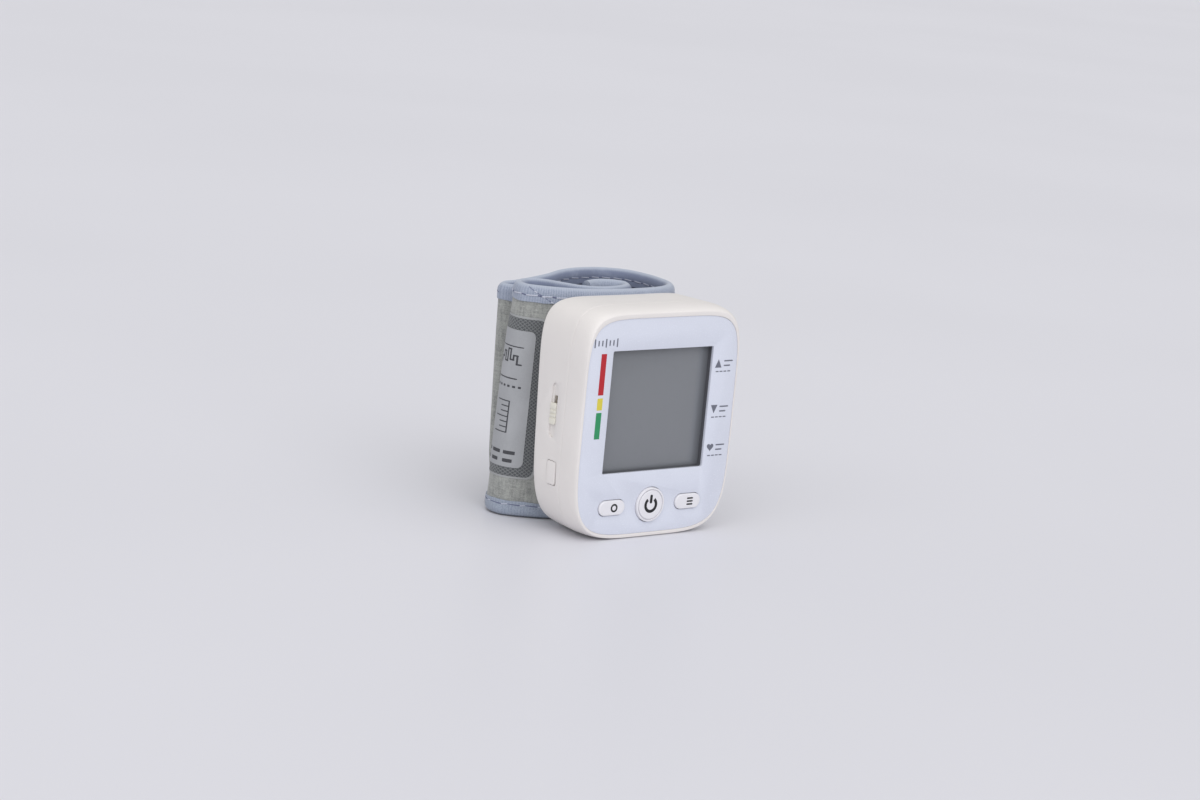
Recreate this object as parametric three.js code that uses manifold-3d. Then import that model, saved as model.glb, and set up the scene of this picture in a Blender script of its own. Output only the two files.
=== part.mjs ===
// Wrist blood pressure monitor standing on its lower edge, with its cuff rolled up behind it.
// Millimetres, +Z up, the face looks towards -Y. Depths count back from the front rim of the body.
import * as THREE from 'three';
import { mergeVertices } from 'three/addons/utils/BufferGeometryUtils.js';
import Module from 'manifold-3d';

const wasm = await Module();
wasm.setup();

// Body skin
const BODY_WIDTH = 60.8;
const BODY_HEIGHT = 70.5;
const BODY_SIDE_DEPTH = 23.1;
const BODY_MIDDLE_DEPTH = 20.9;
const BACK_LEAN = 3.6;
const BODY_TOP_POWER = 6.75;
const BODY_BOTTOM_POWER = 4.7;
const SEAM_DEPTH = 7.5;
const BELT_DEPTH = 13.5;
const FRONT_SIDE_INSET = 1;
const FRONT_TOP_INSET = 1.9;
const FRONT_BOTTOM_RISE = 0.7;
const REAR_SIDE_TAPER = 0.8;
const REAR_TOP_DROP = 0.2;
const REAR_BOTTOM_RISE = 0.6;
const REAR_EDGE_RADIUS = 1.8;
const BASE_CUT_HEIGHT = 0.3;
const WALL = 1.6;
const OVERRUN = 2;
const OUTLINE_STEPS = 52;
const SADDLE_STEPS = 20;
const ROUND_STEPS = 6;
const REAR_ROUND_STEPS = 3;
const REAR_ROUND_END_DEGREES = 80;

// Joint between the housing halves
const LIP_HEIGHT = 1.4;
const LIP_INSET = 0.95;
const LIP_GROOVE_INSET = 0.8;
const LIP_CLEARANCE = 0.15;
const BOSS_RADIUS = 2.4;
const BOSS_GAP = 0.15;
const SCREW_SIDE_INSET = 7.6;
const SCREW_BOTTOM_INSET = 6.5;
const SCREW_TOP_INSET = 5;
const SCREW_HEAD_RADIUS = 2;
const SCREW_HEAD_THICKNESS = 1.2;
const SCREW_HEAD_SINK = 2.6;
const SCREW_SHANK_RADIUS = 0.95;
const SCREW_TIP_DEPTH = 4;
const SCREW_DRIVE_RADIUS = 1;
const SCREW_DRIVE_DEPTH = 0.7;
const SCREW_CLEARANCE = 0.15;

// Face panel and display
const FACE_SIDE_INSET = 1.45;
const FACE_BOTTOM_INSET = 1.4;
const FACE_TOP_INSET = 3;
const FACE_TOP_POWER = 6.5;
const FACE_BOTTOM_POWER = 4.9;
const FACE_SETBACK = 0.15;
const FACE_THICKNESS = 0.9;
const FACE_CLEARANCE = 0.15;
const FRONT_WALL = 0.9;
const WINDOW_X = -0.4;
const WINDOW_DROP = 31.3;
const WINDOW_WIDTH = 39;
const WINDOW_HEIGHT = 37.4;
const WINDOW_CORNER = 0.5;
const WINDOW_STEP = 0.5;
const GLASS_MARGIN = 2;
const GLASS_THICKNESS = 1.7;
const GLASS_LEDGE = 2.5;
const GLASS_GAP = 0.2;
const LCD_FRAME_WALL = 1.8;
const LCD_FRAME_RIM = 0.2;
const LCD_FRAME_BACK = 0.5;
const LCD_FRAME_LIP = 1.5;
const CONTACT_STRIP_HEIGHT = 1.6;
const CONTACT_STRIP_INSET = 2;

// Buttons
const BUTTON_Z = 10;
const BUTTON_SPREAD = 14.8;
const BUTTON_TRAVEL = 0.5;
const BUTTON_CLEARANCE = 0.2;
const BUTTON_FLANGE = 0.8;
const BUTTON_FLANGE_THICKNESS = 0.7;
const POWER_RADIUS = 5.3;
const POWER_TOP_RADIUS = 4.6;
const POWER_PROUD = 0.8;
const POWER_SHOULDER = 0.35;
const POWER_EDGE = 0.2;
const OVAL_LENGTH = 9.8;
const OVAL_HEIGHT = 4.6;
const OVAL_PROUD = 0.6;
const OVAL_EDGE = 0.25;

// Circuit board and what it carries
const BOARD_GAP = 0.2;
const BOARD_THICKNESS = 1.2;
const BOARD_SIDE_INSET = 3.1;
const BOARD_TOP_INSET = 9.3;
const BOARD_BAY_GAP = 2.2;
const BOARD_NOTCH_RISE = 3.5;
const BOARD_BOTTOM = 3.8;
const BOARD_FOOT_MARGIN = 2.2;
const PART_GAP = 0.05;
const KEY_SIZE = 6;
const KEY_HEIGHT = 1;
const KEY_PLUNGER = 1.5;
const CHIP_SIZE = 7;
const CHIP_THICKNESS = 1.4;
const CHIP_INSET = 1;
const BUZZER_RADIUS = 3.4;
const BUZZER_HEIGHT = 3;
const BUZZER_X = 10;
const BUZZER_DROP = 1.6;
const BUZZER_HOLE = 0.9;

// Slide switch and power socket on the left side
const SWITCH_Y = 13.2;
const SWITCH_LOW = 29.6;
const SWITCH_LENGTH = 16.6;
const SWITCH_WIDTH = 3.2;
const SWITCH_SINK = 0.7;
const SWITCH_TRAVEL = 2.2;
const KNOB_LOW = 33.6;
const KNOB_LENGTH = 6.5;
const KNOB_CLEARANCE = 0.2;
const KNOB_PROUD = 0.3;
const KNOB_GROOVE_COUNT = 3;
const KNOB_RIDGE = 0.3;
const KNOB_GROOVE_PITCH = 1.2;
const POST_LENGTH = 2;
const POST_WIDTH = 1.4;
const POST_REACH = 1.9;
const SWITCH_BODY_DEPTH = 2.8;
const SWITCH_BODY_WIDTH = 4;
const SWITCH_BODY_LENGTH = 12;
const PORT_Y = 11.9;
const PORT_Z = 19.1;
const PORT_LENGTH = 7.5;
const PORT_WIDTH = 4.6;
const PORT_CORNER = 0.8;
const PORT_SINK = 1.3;
const PORT_LID_THICKNESS = 1;
const PORT_NAIL_GAP = 0.35;
const SOCKET_LENGTH = 6.6;
const SOCKET_WIDTH = 2.8;
const SOCKET_SHELL = 0.6;
const SOCKET_DEPTH = 4.1;
const SOCKET_TONGUE = 0.6;
const SOCKET_WALL_GAP = 0.2;

// Battery bay and door on the right side
const DOOR_SIDE_MARGIN = 0.55;
const DOOR_LOW = 13;
const DOOR_END_ROOM = 2.25;
const DOOR_FRONT = 10.4;
const DOOR_GAP = 0.25;
const DOOR_GRIP_COUNT = 4;
const DOOR_GRIP_PITCH = 2.6;
const DOOR_GRIP_WIDTH = 1.2;
const DOOR_GRIP_DEPTH = 0.4;
const DOOR_GRIP_LENGTH = 7;
const BAY_WALL = 0.8;
const BAY_MARGIN = 0.6;
const BAY_END_PLAY = 0.2;
const CELL_RADIUS = 5.25;
const CELL_LENGTH = 44.5;
const CELL_NUB_RADIUS = 1.9;
const CELL_NUB = 1;
const CELL_EDGE = 0.5;
const CELL_Y = 11.6;
const CELL_SIDE_INSET = 8.2;
const CELL_PITCH = 10.6;
const CONTACT_THICKNESS = 0.5;
const CONTACT_WIDTH = 7;
const CONTACT_GAP = 0.15;
const CONTACT_CONE = 2.4;

// Air system
const PUMP_SIDE_INSET = 25.6;
const PUMP_Y = 12.4;
const PUMP_RADIUS = 4.4;
const PUMP_LOW = 23.4;
const PUMP_HEAD_LENGTH = 12;
const PUMP_STAGES = 3;
const PUMP_GROOVE = 0.5;
const MOTOR_LENGTH = 18;
const MOTOR_RADIUS = 4.2;
const MOTOR_BEARING_RADIUS = 2;
const MOTOR_BEARING = 1.4;
const NOZZLE_RADIUS = 1.1;
const NOZZLE_LENGTH = 3.4;
const TUBE_RADIUS = 2;
const TUBE_BORE = 1.3;
const TUBE_GAP = 0.3;
const MANIFOLD_Z = 13;
const MANIFOLD_LEFT_REACH = 2.5;
const MANIFOLD_RIGHT_REACH = 1.8;
const MANIFOLD_NOZZLE = 3.8;
const VALVE_SIDE_INSET = 16.1;
const VALVE_WIDTH = 8;
const VALVE_TOP_INSET = 7.5;
const VALVE_LENGTH = 12;
const VALVE_COIL_STEP = 0.6;
const VALVE_YOKE = 3;
const SENSOR_SIDE_INSET = 9;
const SENSOR_LOW = 27;
const SENSOR_LENGTH = 6.6;
const SENSOR_WIDTH = 6;
const SENSOR_HEIGHT = 3.4;
const SENSOR_NOZZLE_SINK = 1.65;
const OUTLET_X = 0.6;
const OUTLET_RADIUS = 2;
const OUTLET_FLANGE = 3.1;
const OUTLET_FLANGE_THICKNESS = 0.9;
const OUTLET_CLEARANCE = 0.25;
const OUTLET_NOZZLE = 3.6;

// Rolled cuff
const CUFF_HEIGHT = 71.4;
const CUFF_THICKNESS = 2.7;
const CUFF_FABRIC = 0.6;
const CUFF_LAYER_GAP = 0.15;
const CURLER_THICKNESS = 0.5;
const CUFF_PUFF = 0.35;
const BINDING_HEIGHT = 5;
const BINDING_TAPE = 0.35;
const BINDING_GAP = 0.1;
const ROLL_X = 3.8;
const ROLL_GAP = 0.3;
const ROLL_WIDTH = 55;
const ROLL_DEPTH = 34.4;
const ROLL_FOLLOW_SHARE = 0.25;
const TAIL_TOP_DROP = 2.9;
const TAIL_BOTTOM_RISE = 1;
const CUFF_STEPS = 88;
const TAIL_START_SHARE = 0.8;
const CURLER_START_STEPS = 38;
const CURLER_END_STEPS = 61;
const BLADDER_START_STEPS = 36;
const BLADDER_END_STEPS = 77;
const CORE_MARGIN = 7;
const STUD_RADIUS = 1.5;
const STUD_HEAD_RADIUS = 2;
const STUD_HEAD = 0.9;
const STUD_PLAY = 0.3;
const STUD_TOP_INSET = 15.9;
const STUD_PITCH = 23;
const MESH_FIELD_THICKNESS = 0.25;
const MESH_FIELD_LOW = 12;
const MESH_FIELD_HIGH = 61.6;
const LABEL_THICKNESS = 0.2;
const LABEL_LOW = 15.3;
const LABEL_HIGH = 58.5;
const PATCH_GAP = 0.12;
const MESH_FIELD_START_STEPS = 25;
const MESH_FIELD_END_STEPS = 33;
const LABEL_START_STEPS = 26;
const LABEL_END_STEPS = 32;

// Where the roll passes, seen from above, from its inner end to its tail, as shares of the roll's
// width and depth. The third and fourth numbers move the lower edge, where the roll leans.
const ROLL_SHARES = [
  [-0.091, 0.407],
  [0.009, 0.459],
  [0.087, 0.424],
  [0.131, 0.331],
  [0.109, 0.233],
  [0.044, 0.163],
  [-0.045, 0.128],
  [-0.145, 0.14],
  [-0.225, 0.221],
  [-0.276, 0.372],
  [-0.324, 0.529],
  [-0.389, 0.599],
  [-0.458, 0.587, -0.036, 0.026],
  [-0.519, 0.494, -0.043, 0.015],
  [-0.527, 0.36, -0.043, -0.009],
  [-0.452, 0.221, -0.025, -0.023],
  [-0.327, 0.093],
  [-0.178, 0.023],
  [-0.015, 0],
  [0.133, 0.006],
  [0.255, 0.041],
  [0.345, 0.11],
  [0.411, 0.221],
  [0.44, 0.401],
  [0.444, 0.631],
  [0.407, 0.837],
  [0.287, 0.977],
  [0.145, 1],
  [0, 0.977],
  [-0.127, 0.913],
  [-0.359, 0.878, 0.047],
  [-0.431, 0.885, 0.047],
  [-0.466, 0.826, 0.047],
  [-0.438, 0.753, 0.047],
];

// Places that follow from the sizes above
const WINDOW_Z = BODY_HEIGHT - WINDOW_DROP;
const CELL_FAR_X = BODY_WIDTH / 2 - CELL_SIDE_INSET;
const CELL_NEAR_X = CELL_FAR_X - CELL_PITCH;
const DOOR_LEFT = CELL_NEAR_X - CELL_RADIUS - DOOR_SIDE_MARGIN;
const DOOR_HIGH = DOOR_LOW + CELL_LENGTH + 2 * DOOR_END_ROOM;
const CELL_LOW = DOOR_LOW + DOOR_END_ROOM;
const BAY_LEFT = DOOR_LEFT - BAY_MARGIN - BAY_WALL;
const BOARD_LEFT = BOARD_SIDE_INSET - BODY_WIDTH / 2;
const BOARD_RIGHT = BAY_LEFT - BOARD_BAY_GAP;
const BOARD_TOP = BODY_HEIGHT - BOARD_TOP_INSET;
const BOARD_NOTCH = BUTTON_Z + BOARD_NOTCH_RISE;
const BOARD_FOOT = BUTTON_SPREAD + KEY_SIZE / 2 + BOARD_FOOT_MARGIN;
const PUMP_X = PUMP_SIDE_INSET - BODY_WIDTH / 2;
const VALVE_X = VALVE_SIDE_INSET - BODY_WIDTH / 2;
const SENSOR_X = SENSOR_SIDE_INSET - BODY_WIDTH / 2;
const VALVE_LOW = BOARD_TOP - VALVE_TOP_INSET - VALVE_LENGTH;
const STUD_HIGH_Z = CUFF_HEIGHT - STUD_TOP_INSET;
const STUD_LOW_Z = STUD_HIGH_Z - STUD_PITCH;
const BACK_SLOPE = BACK_LEAN / BODY_HEIGHT;
const BACK_TOP_DEPTH = BODY_MIDDLE_DEPTH - BACK_LEAN / 2 + BACK_SLOPE * CUFF_HEIGHT;
const ROLL_FRONT = BACK_TOP_DEPTH + ROLL_GAP + BINDING_TAPE + BINDING_GAP + CUFF_THICKNESS / 2;

// Depths that follow from them
const BACK_REACH = BODY_SIDE_DEPTH + BACK_LEAN / 2 + 2 * OVERRUN;
const FACE_BED_DEPTH = FACE_SETBACK + FACE_THICKNESS + FACE_CLEARANCE;
const FRONT_WALL_BACK = FACE_BED_DEPTH + FRONT_WALL;
const GLASS_FRONT = FRONT_WALL_BACK + LCD_FRAME_RIM + 2 * PART_GAP;
const GLASS_BACK = GLASS_FRONT + GLASS_THICKNESS;
const LCD_FRAME_DEPTH = GLASS_BACK + GLASS_GAP + LCD_FRAME_BACK;
const BOARD_FRONT = LCD_FRAME_DEPTH + BOARD_GAP;
const BOARD_BACK = BOARD_FRONT + BOARD_THICKNESS;
const BUTTON_FLANGE_FRONT = FRONT_WALL_BACK + BUTTON_CLEARANCE;
const BUTTON_BACK = BUTTON_FLANGE_FRONT + BUTTON_FLANGE_THICKNESS;
const PLUNGER_FRONT = BUTTON_BACK + BUTTON_TRAVEL + PART_GAP;

// Finishes

function finish(color, roughness, metalness = 0) {
  return new THREE.MeshStandardMaterial({ color, roughness, metalness });
}

const WHITE_PLASTIC = () => finish(0xe6e2dd, 0.38);
const BUTTON_WHITE = () => finish(0xeceaea, 0.34);
const PALE_BLUE_PANEL = () => finish(0xd3daee, 0.22);
const GREY_GLASS = () => finish(0x7f8387, 0.2);
const DARK_FRAME = () => finish(0x2a2c30, 0.6);
const BOARD_GREEN = () => finish(0x1f6a44, 0.5);
const BLACK_PART = () => finish(0x1b1b1d, 0.55);
const BEIGE_PLASTIC = () => finish(0xd8cdb2, 0.5);
const BARE_METAL = () => finish(0xc4c6c8, 0.32, 0.9);
const SPRING_STEEL = () => finish(0xd0cfc8, 0.3, 0.9);
const CELL_JACKET = () => finish(0x3f5f7c, 0.35, 0.3);
const SILICONE = () => finish(0xe9e7e0, 0.6);
const GREY_LOOP_FABRIC = () => finish(0x8f9490, 0.95);
const INNER_FABRIC = () => finish(0x7f88ab, 0.9);
const BLUE_BINDING = () => finish(0xa2aace, 0.85);
const CURLER_PLASTIC = () => finish(0xf0f0ee, 0.5);
const BLADDER_RUBBER = () => finish(0x5c5f63, 0.7);
const DARK_MESH = () => finish(0x5d6162, 0.95);
const SATIN_LABEL = () => finish(0xb3b6b8, 0.55);

// Solids

function solidOf(geometry) {
  const bare = geometry.clone();
  bare.deleteAttribute('normal');
  bare.deleteAttribute('uv');
  const merged = mergeVertices(bare);
  const mesh = new wasm.Mesh({
    numProp: 3,
    vertProperties: merged.attributes.position.array,
    triVerts: new Uint32Array(merged.index.array),
  });
  return new wasm.Manifold(mesh);
}

function piece(name, solid, material) {
  const { vertProperties, triVerts } = solid.getMesh();
  const geometry = new THREE.BufferGeometry();
  geometry.setAttribute('position', new THREE.BufferAttribute(vertProperties, 3));
  geometry.setIndex(new THREE.BufferAttribute(triVerts, 1));
  geometry.computeVertexNormals();
  const mesh = new THREE.Mesh(geometry, material);
  mesh.name = name;
  return mesh;
}

function groupOf(...children) {
  const group = new THREE.Group();
  group.add(...children);
  return group;
}

// A closed skin over rings of points. Each ring runs counter-clockwise for one who looks along the loft.
function loft(rings, profile) {
  const count = profile.length;
  const positions = rings.flat().flatMap((point) => [point.x, point.y, point.z]);
  const index = [];
  for (let ring = 0; ring + 1 < rings.length; ring++) {
    for (let i = 0; i < count; i++) {
      const here = ring * count + i;
      const next = ring * count + ((i + 1) % count);
      index.push(here, here + count, next, next, here + count, next + count);
    }
  }
  const last = (rings.length - 1) * count;
  for (const [i, j, k] of THREE.ShapeUtils.triangulateShape(profile, [])) {
    index.push(i, j, k);
    index.push(last + k, last + j, last + i);
  }
  const geometry = new THREE.BufferGeometry();
  geometry.setAttribute('position', new THREE.Float32BufferAttribute(positions, 3));
  geometry.setIndex(index);
  return solidOf(geometry);
}

function block(lowX, highX, lowY, highY, lowZ, highZ) {
  const geometry = new THREE.BoxGeometry(highX - lowX, highY - lowY, highZ - lowZ);
  geometry.translate((lowX + highX) / 2, (lowY + highY) / 2, (lowZ + highZ) / 2);
  return solidOf(geometry);
}

// A shape drawn in X and Z, as seen from the front, and drawn out in depth
function facing(shape, frontY, backY, edge = 0) {
  const geometry = new THREE.ExtrudeGeometry(shape, {
    depth: backY - frontY - 2 * edge,
    curveSegments: 5,
    bevelEnabled: edge > 0,
    bevelThickness: edge,
    bevelSize: edge,
    bevelOffset: -edge,
    bevelSegments: 2,
  });
  geometry.rotateX(Math.PI / 2);
  geometry.translate(0, backY - edge, 0);
  return solidOf(geometry);
}

// A shape drawn in Y and Z and drawn out across the body
function sideways(shape, lowX, highX, edge = 0) {
  const geometry = new THREE.ExtrudeGeometry(shape, {
    depth: highX - lowX - 2 * edge,
    curveSegments: 4,
    bevelEnabled: edge > 0,
    bevelThickness: edge,
    bevelSize: edge,
    bevelOffset: -edge,
    bevelSegments: 1,
  });
  geometry.translate(0, 0, lowX + edge);
  const toY = new THREE.Vector3(0, 1, 0);
  const toZ = new THREE.Vector3(0, 0, 1);
  const toX = new THREE.Vector3(1, 0, 0);
  geometry.applyMatrix4(new THREE.Matrix4().makeBasis(toY, toZ, toX));
  return solidOf(geometry);
}

function roundedRectangle(middleX, middleY, width, height, radius) {
  const shape = new THREE.Shape();
  const right = middleX + width / 2 - radius;
  const left = middleX - width / 2 + radius;
  const top = middleY + height / 2 - radius;
  const bottom = middleY - height / 2 + radius;
  shape.absarc(right, bottom, radius, -Math.PI / 2, 0);
  shape.absarc(right, top, radius, 0, Math.PI / 2);
  shape.absarc(left, top, radius, Math.PI / 2, Math.PI);
  shape.absarc(left, bottom, radius, Math.PI, 1.5 * Math.PI);
  return shape;
}

function lyingSlot(middleX, middleY, length, width) {
  const shape = new THREE.Shape();
  const reach = (length - width) / 2;
  shape.absarc(middleX + reach, middleY, width / 2, -Math.PI / 2, Math.PI / 2);
  shape.absarc(middleX - reach, middleY, width / 2, Math.PI / 2, 1.5 * Math.PI);
  return shape;
}

function standingSlot(middleX, middleY, length, width) {
  const shape = new THREE.Shape();
  const reach = (length - width) / 2;
  shape.absarc(middleX, middleY + reach, width / 2, 0, Math.PI);
  shape.absarc(middleX, middleY - reach, width / 2, Math.PI, 2 * Math.PI);
  return shape;
}

// A profile of [radius, depth] turned about a line that runs back into the body
function turnedBack(profile, x, z, sides = 24) {
  const geometry = new THREE.LatheGeometry(profile.map(([r, y]) => new THREE.Vector2(r, y)), sides);
  geometry.translate(x, 0, z);
  return solidOf(geometry);
}

// A profile of [radius, height] turned about an upright line
function turnedUp(profile, x, y, sides = 18) {
  const geometry = new THREE.LatheGeometry(profile.map(([r, z]) => new THREE.Vector2(r, z)), sides);
  geometry.rotateX(Math.PI / 2);
  geometry.translate(x, y, 0);
  return solidOf(geometry);
}

function rodBack(radius, x, z, frontY, backY, sides = 14) {
  const profile = [[0, frontY], [radius, frontY], [radius, backY], [0, backY]];
  return turnedBack(profile, x, z, sides);
}

function rodUp(radius, x, y, lowZ, highZ, sides = 16) {
  const profile = [[0, lowZ], [radius, lowZ], [radius, highZ], [0, highZ]];
  return turnedUp(profile, x, y, sides);
}

function rodAcross(radius, y, z, lowX, highX, sides = 16) {
  const geometry = new THREE.CylinderGeometry(radius, radius, highX - lowX, sides);
  geometry.rotateZ(Math.PI / 2);
  geometry.translate((lowX + highX) / 2, y, z);
  return solidOf(geometry);
}

function tubeAlong(path, steps) {
  const section = new THREE.Shape().absarc(0, 0, TUBE_RADIUS, 0, 2 * Math.PI);
  section.holes.push(new THREE.Path().absarc(0, 0, TUBE_BORE, 0, 2 * Math.PI));
  return solidOf(new THREE.ExtrudeGeometry(section, { steps, curveSegments: 4, extrudePath: path }));
}

// Body skin

function signedPower(value, power) {
  return Math.sign(value) * Math.abs(value) ** power;
}

// A squared oval, with its own squareness above and below the middle
function squaredOval(half, bottom, top, squareTop, squareBottom) {
  const middle = (bottom + top) / 2;
  const rise = top - middle;
  const points = [];
  for (let i = 0; i < OUTLINE_STEPS; i++) {
    const angle = (2 * Math.PI * i) / OUTLINE_STEPS;
    const across = Math.cos(angle);
    const up = Math.sin(angle);
    const power = 2 / (up < 0 ? squareBottom : squareTop);
    points.push(new THREE.Vector2(half * signedPower(across, power), middle + rise * signedPower(up, power)));
  }
  return points;
}

function skinAt(depth) {
  if (depth < SEAM_DEPTH) {
    const away = (SEAM_DEPTH - depth) / SEAM_DEPTH;
    const share = 1 - Math.sqrt(1 - away ** 2);
    return {
      half: BODY_WIDTH / 2 - FRONT_SIDE_INSET * share,
      top: BODY_HEIGHT - FRONT_TOP_INSET * share,
      bottom: FRONT_BOTTOM_RISE * share - BASE_CUT_HEIGHT,
    };
  }
  const share = (depth - SEAM_DEPTH) / (BODY_SIDE_DEPTH - SEAM_DEPTH);
  return {
    half: BODY_WIDTH / 2 - REAR_SIDE_TAPER * share,
    top: BODY_HEIGHT - REAR_TOP_DROP * share,
    bottom: REAR_BOTTOM_RISE * share - BASE_CUT_HEIGHT,
  };
}

function skinRing(depth, inward, depthOf) {
  const { half, top, bottom } = skinAt(depth);
  const oval = squaredOval(
    half - inward, bottom + inward, top - inward, BODY_TOP_POWER, BODY_BOTTOM_POWER,
  );
  return oval.map((p) => new THREE.Vector3(p.x, depthOf ? depthOf(p.x, p.y) : depth, Math.max(p.y, 0)));
}

function skinLoft(rings) {
  return loft(rings, rings[0].map((point) => new THREE.Vector2(point.x, point.z)));
}

function skinBand(inward, frontY, backY) {
  const front = skinRing(SEAM_DEPTH, inward, () => frontY);
  return skinLoft([front, skinRing(SEAM_DEPTH, inward, () => backY)]);
}

// The back of the body is a shallow saddle that follows the cuff and leans back towards the top.
function saddleDepth(x) {
  return BODY_MIDDLE_DEPTH + (BODY_SIDE_DEPTH - BODY_MIDDLE_DEPTH) * (x / (BODY_WIDTH / 2)) ** 2;
}

function backDepth(x, z) {
  return saddleDepth(x) - BACK_LEAN / 2 + BACK_SLOPE * z;
}

function behindSaddle(shift) {
  const reach = BODY_WIDTH / 2 + OVERRUN;
  const shape = new THREE.Shape();
  for (let i = 0; i <= SADDLE_STEPS; i++) {
    const x = reach - (2 * reach * i) / SADDLE_STEPS;
    shape[i ? 'lineTo' : 'moveTo'](x, saddleDepth(x) + shift);
  }
  shape.lineTo(-reach, BACK_REACH);
  shape.lineTo(reach, BACK_REACH);
  const depth = BODY_HEIGHT + 2 * OVERRUN;
  const geometry = new THREE.ExtrudeGeometry(shape, { depth, bevelEnabled: false });
  geometry.translate(0, 0, -OVERRUN);
  geometry.applyMatrix4(new THREE.Matrix4().set(
    1, 0, 0, 0,
    0, 1, BACK_SLOPE, -BACK_LEAN / 2,
    0, 0, 1, 0,
    0, 0, 0, 1,
  ));
  return solidOf(geometry);
}

function frontBlank() {
  const rings = [];
  for (let i = 0; i <= ROUND_STEPS; i++) {
    const turn = (i / ROUND_STEPS) * (Math.PI / 2);
    rings.push(skinRing(SEAM_DEPTH * (1 - Math.cos(turn)), 0));
  }
  return skinLoft(rings);
}

function frontCavity() {
  const middle = (FRONT_WALL_BACK + SEAM_DEPTH) / 2;
  return skinLoft([
    skinRing(FRONT_WALL_BACK, WALL),
    skinRing(middle, WALL),
    skinRing(SEAM_DEPTH, WALL),
    skinRing(SEAM_DEPTH, WALL, () => SEAM_DEPTH + OVERRUN),
  ]);
}

function rearBlank() {
  const rings = [skinRing(SEAM_DEPTH, 0), skinRing(BELT_DEPTH, 0)];
  for (let i = 0; i <= REAR_ROUND_STEPS; i++) {
    const turn = THREE.MathUtils.degToRad((i / REAR_ROUND_STEPS) * REAR_ROUND_END_DEGREES);
    const back = REAR_EDGE_RADIUS * (1 - Math.sin(turn));
    const inward = REAR_EDGE_RADIUS * (1 - Math.cos(turn));
    rings.push(skinRing(BODY_SIDE_DEPTH - back, inward, (x, z) => backDepth(x, z) - back));
  }
  rings.push(skinRing(BODY_SIDE_DEPTH, REAR_EDGE_RADIUS, (x, z) => backDepth(x, z) + OVERRUN));
  return skinLoft(rings).subtract(behindSaddle(0));
}

function rearCavity() {
  const rings = [
    skinRing(SEAM_DEPTH, WALL, () => SEAM_DEPTH - OVERRUN),
    skinRing(SEAM_DEPTH, WALL),
    skinRing(BELT_DEPTH, WALL),
    skinRing(BODY_SIDE_DEPTH, WALL, () => BACK_REACH),
  ];
  return skinLoft(rings).subtract(behindSaddle(-WALL));
}

function sideAt(depth) {
  return skinAt(depth).half;
}

// Housing

function screwPlaces() {
  const x = BODY_WIDTH / 2 - SCREW_SIDE_INSET;
  const top = BODY_HEIGHT - SCREW_TOP_INSET;
  return [[-x, SCREW_BOTTOM_INSET], [x, SCREW_BOTTOM_INSET], [-x, top], [x, top]];
}

function faceOutline(clearance) {
  const oval = squaredOval(
    BODY_WIDTH / 2 - FACE_SIDE_INSET + clearance, FACE_BOTTOM_INSET - clearance,
    BODY_HEIGHT - FACE_TOP_INSET + clearance,
    FACE_TOP_POWER, FACE_BOTTOM_POWER,
  );
  return new THREE.Shape(oval);
}

function windowShape(margin) {
  return roundedRectangle(
    WINDOW_X, WINDOW_Z, WINDOW_WIDTH + 2 * margin, WINDOW_HEIGHT + 2 * margin, WINDOW_CORNER,
  );
}

function buttonHoles(frontY, backY) {
  const power = rodBack(POWER_RADIUS + BUTTON_CLEARANCE, WINDOW_X, BUTTON_Z, frontY, backY, 32);
  const length = OVAL_LENGTH + 2 * BUTTON_CLEARANCE;
  const height = OVAL_HEIGHT + 2 * BUTTON_CLEARANCE;
  const left = facing(lyingSlot(WINDOW_X - BUTTON_SPREAD, BUTTON_Z, length, height), frontY, backY);
  const right = facing(lyingSlot(WINDOW_X + BUTTON_SPREAD, BUTTON_Z, length, height), frontY, backY);
  return power.add(left).add(right);
}

function frontHousing() {
  const blank = frontBlank();
  let solid = blank.subtract(frontCavity());
  for (const [x, z] of screwPlaces()) {
    const boss = rodBack(BOSS_RADIUS, x, z, FRONT_WALL_BACK - FRONT_WALL / 2, SEAM_DEPTH - BOSS_GAP);
    const hole = rodBack(
      SCREW_SHANK_RADIUS + SCREW_CLEARANCE, x, z, SCREW_TIP_DEPTH - SCREW_CLEARANCE, SEAM_DEPTH + OVERRUN, 12,
    );
    solid = solid.add(boss.intersect(blank)).subtract(hole);
  }
  const groove = skinBand(LIP_GROOVE_INSET, SEAM_DEPTH - LIP_HEIGHT - LIP_CLEARANCE, SEAM_DEPTH + OVERRUN)
    .subtract(skinBand(WALL + LIP_CLEARANCE, SEAM_DEPTH - LIP_HEIGHT - OVERRUN, SEAM_DEPTH + 2 * OVERRUN));
  solid = solid
    .subtract(groove)
    .subtract(facing(faceOutline(FACE_CLEARANCE), -OVERRUN, FACE_BED_DEPTH))
    .subtract(facing(windowShape(WINDOW_STEP), -OVERRUN, SEAM_DEPTH))
    .subtract(buttonHoles(-OVERRUN, SEAM_DEPTH));
  return piece('front_housing', solid, WHITE_PLASTIC());
}

function doorRegion(gap) {
  return block(
    DOOR_LEFT + gap, BODY_WIDTH / 2 + OVERRUN,
    DOOR_FRONT + gap, BACK_REACH,
    DOOR_LOW + gap, DOOR_HIGH - gap,
  );
}

function bayWalls() {
  const left = BAY_LEFT;
  const right = BODY_WIDTH / 2;
  const low = bayFloor();
  const high = bayRoof();
  const side = block(left, left + BAY_WALL, SEAM_DEPTH, BACK_REACH, low - BAY_WALL, high + BAY_WALL);
  const floor = block(left, right, SEAM_DEPTH, BACK_REACH, low - BAY_WALL, low);
  const roof = block(left, right, SEAM_DEPTH, BACK_REACH, high, high + BAY_WALL);
  return side.add(floor).add(roof);
}

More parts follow.
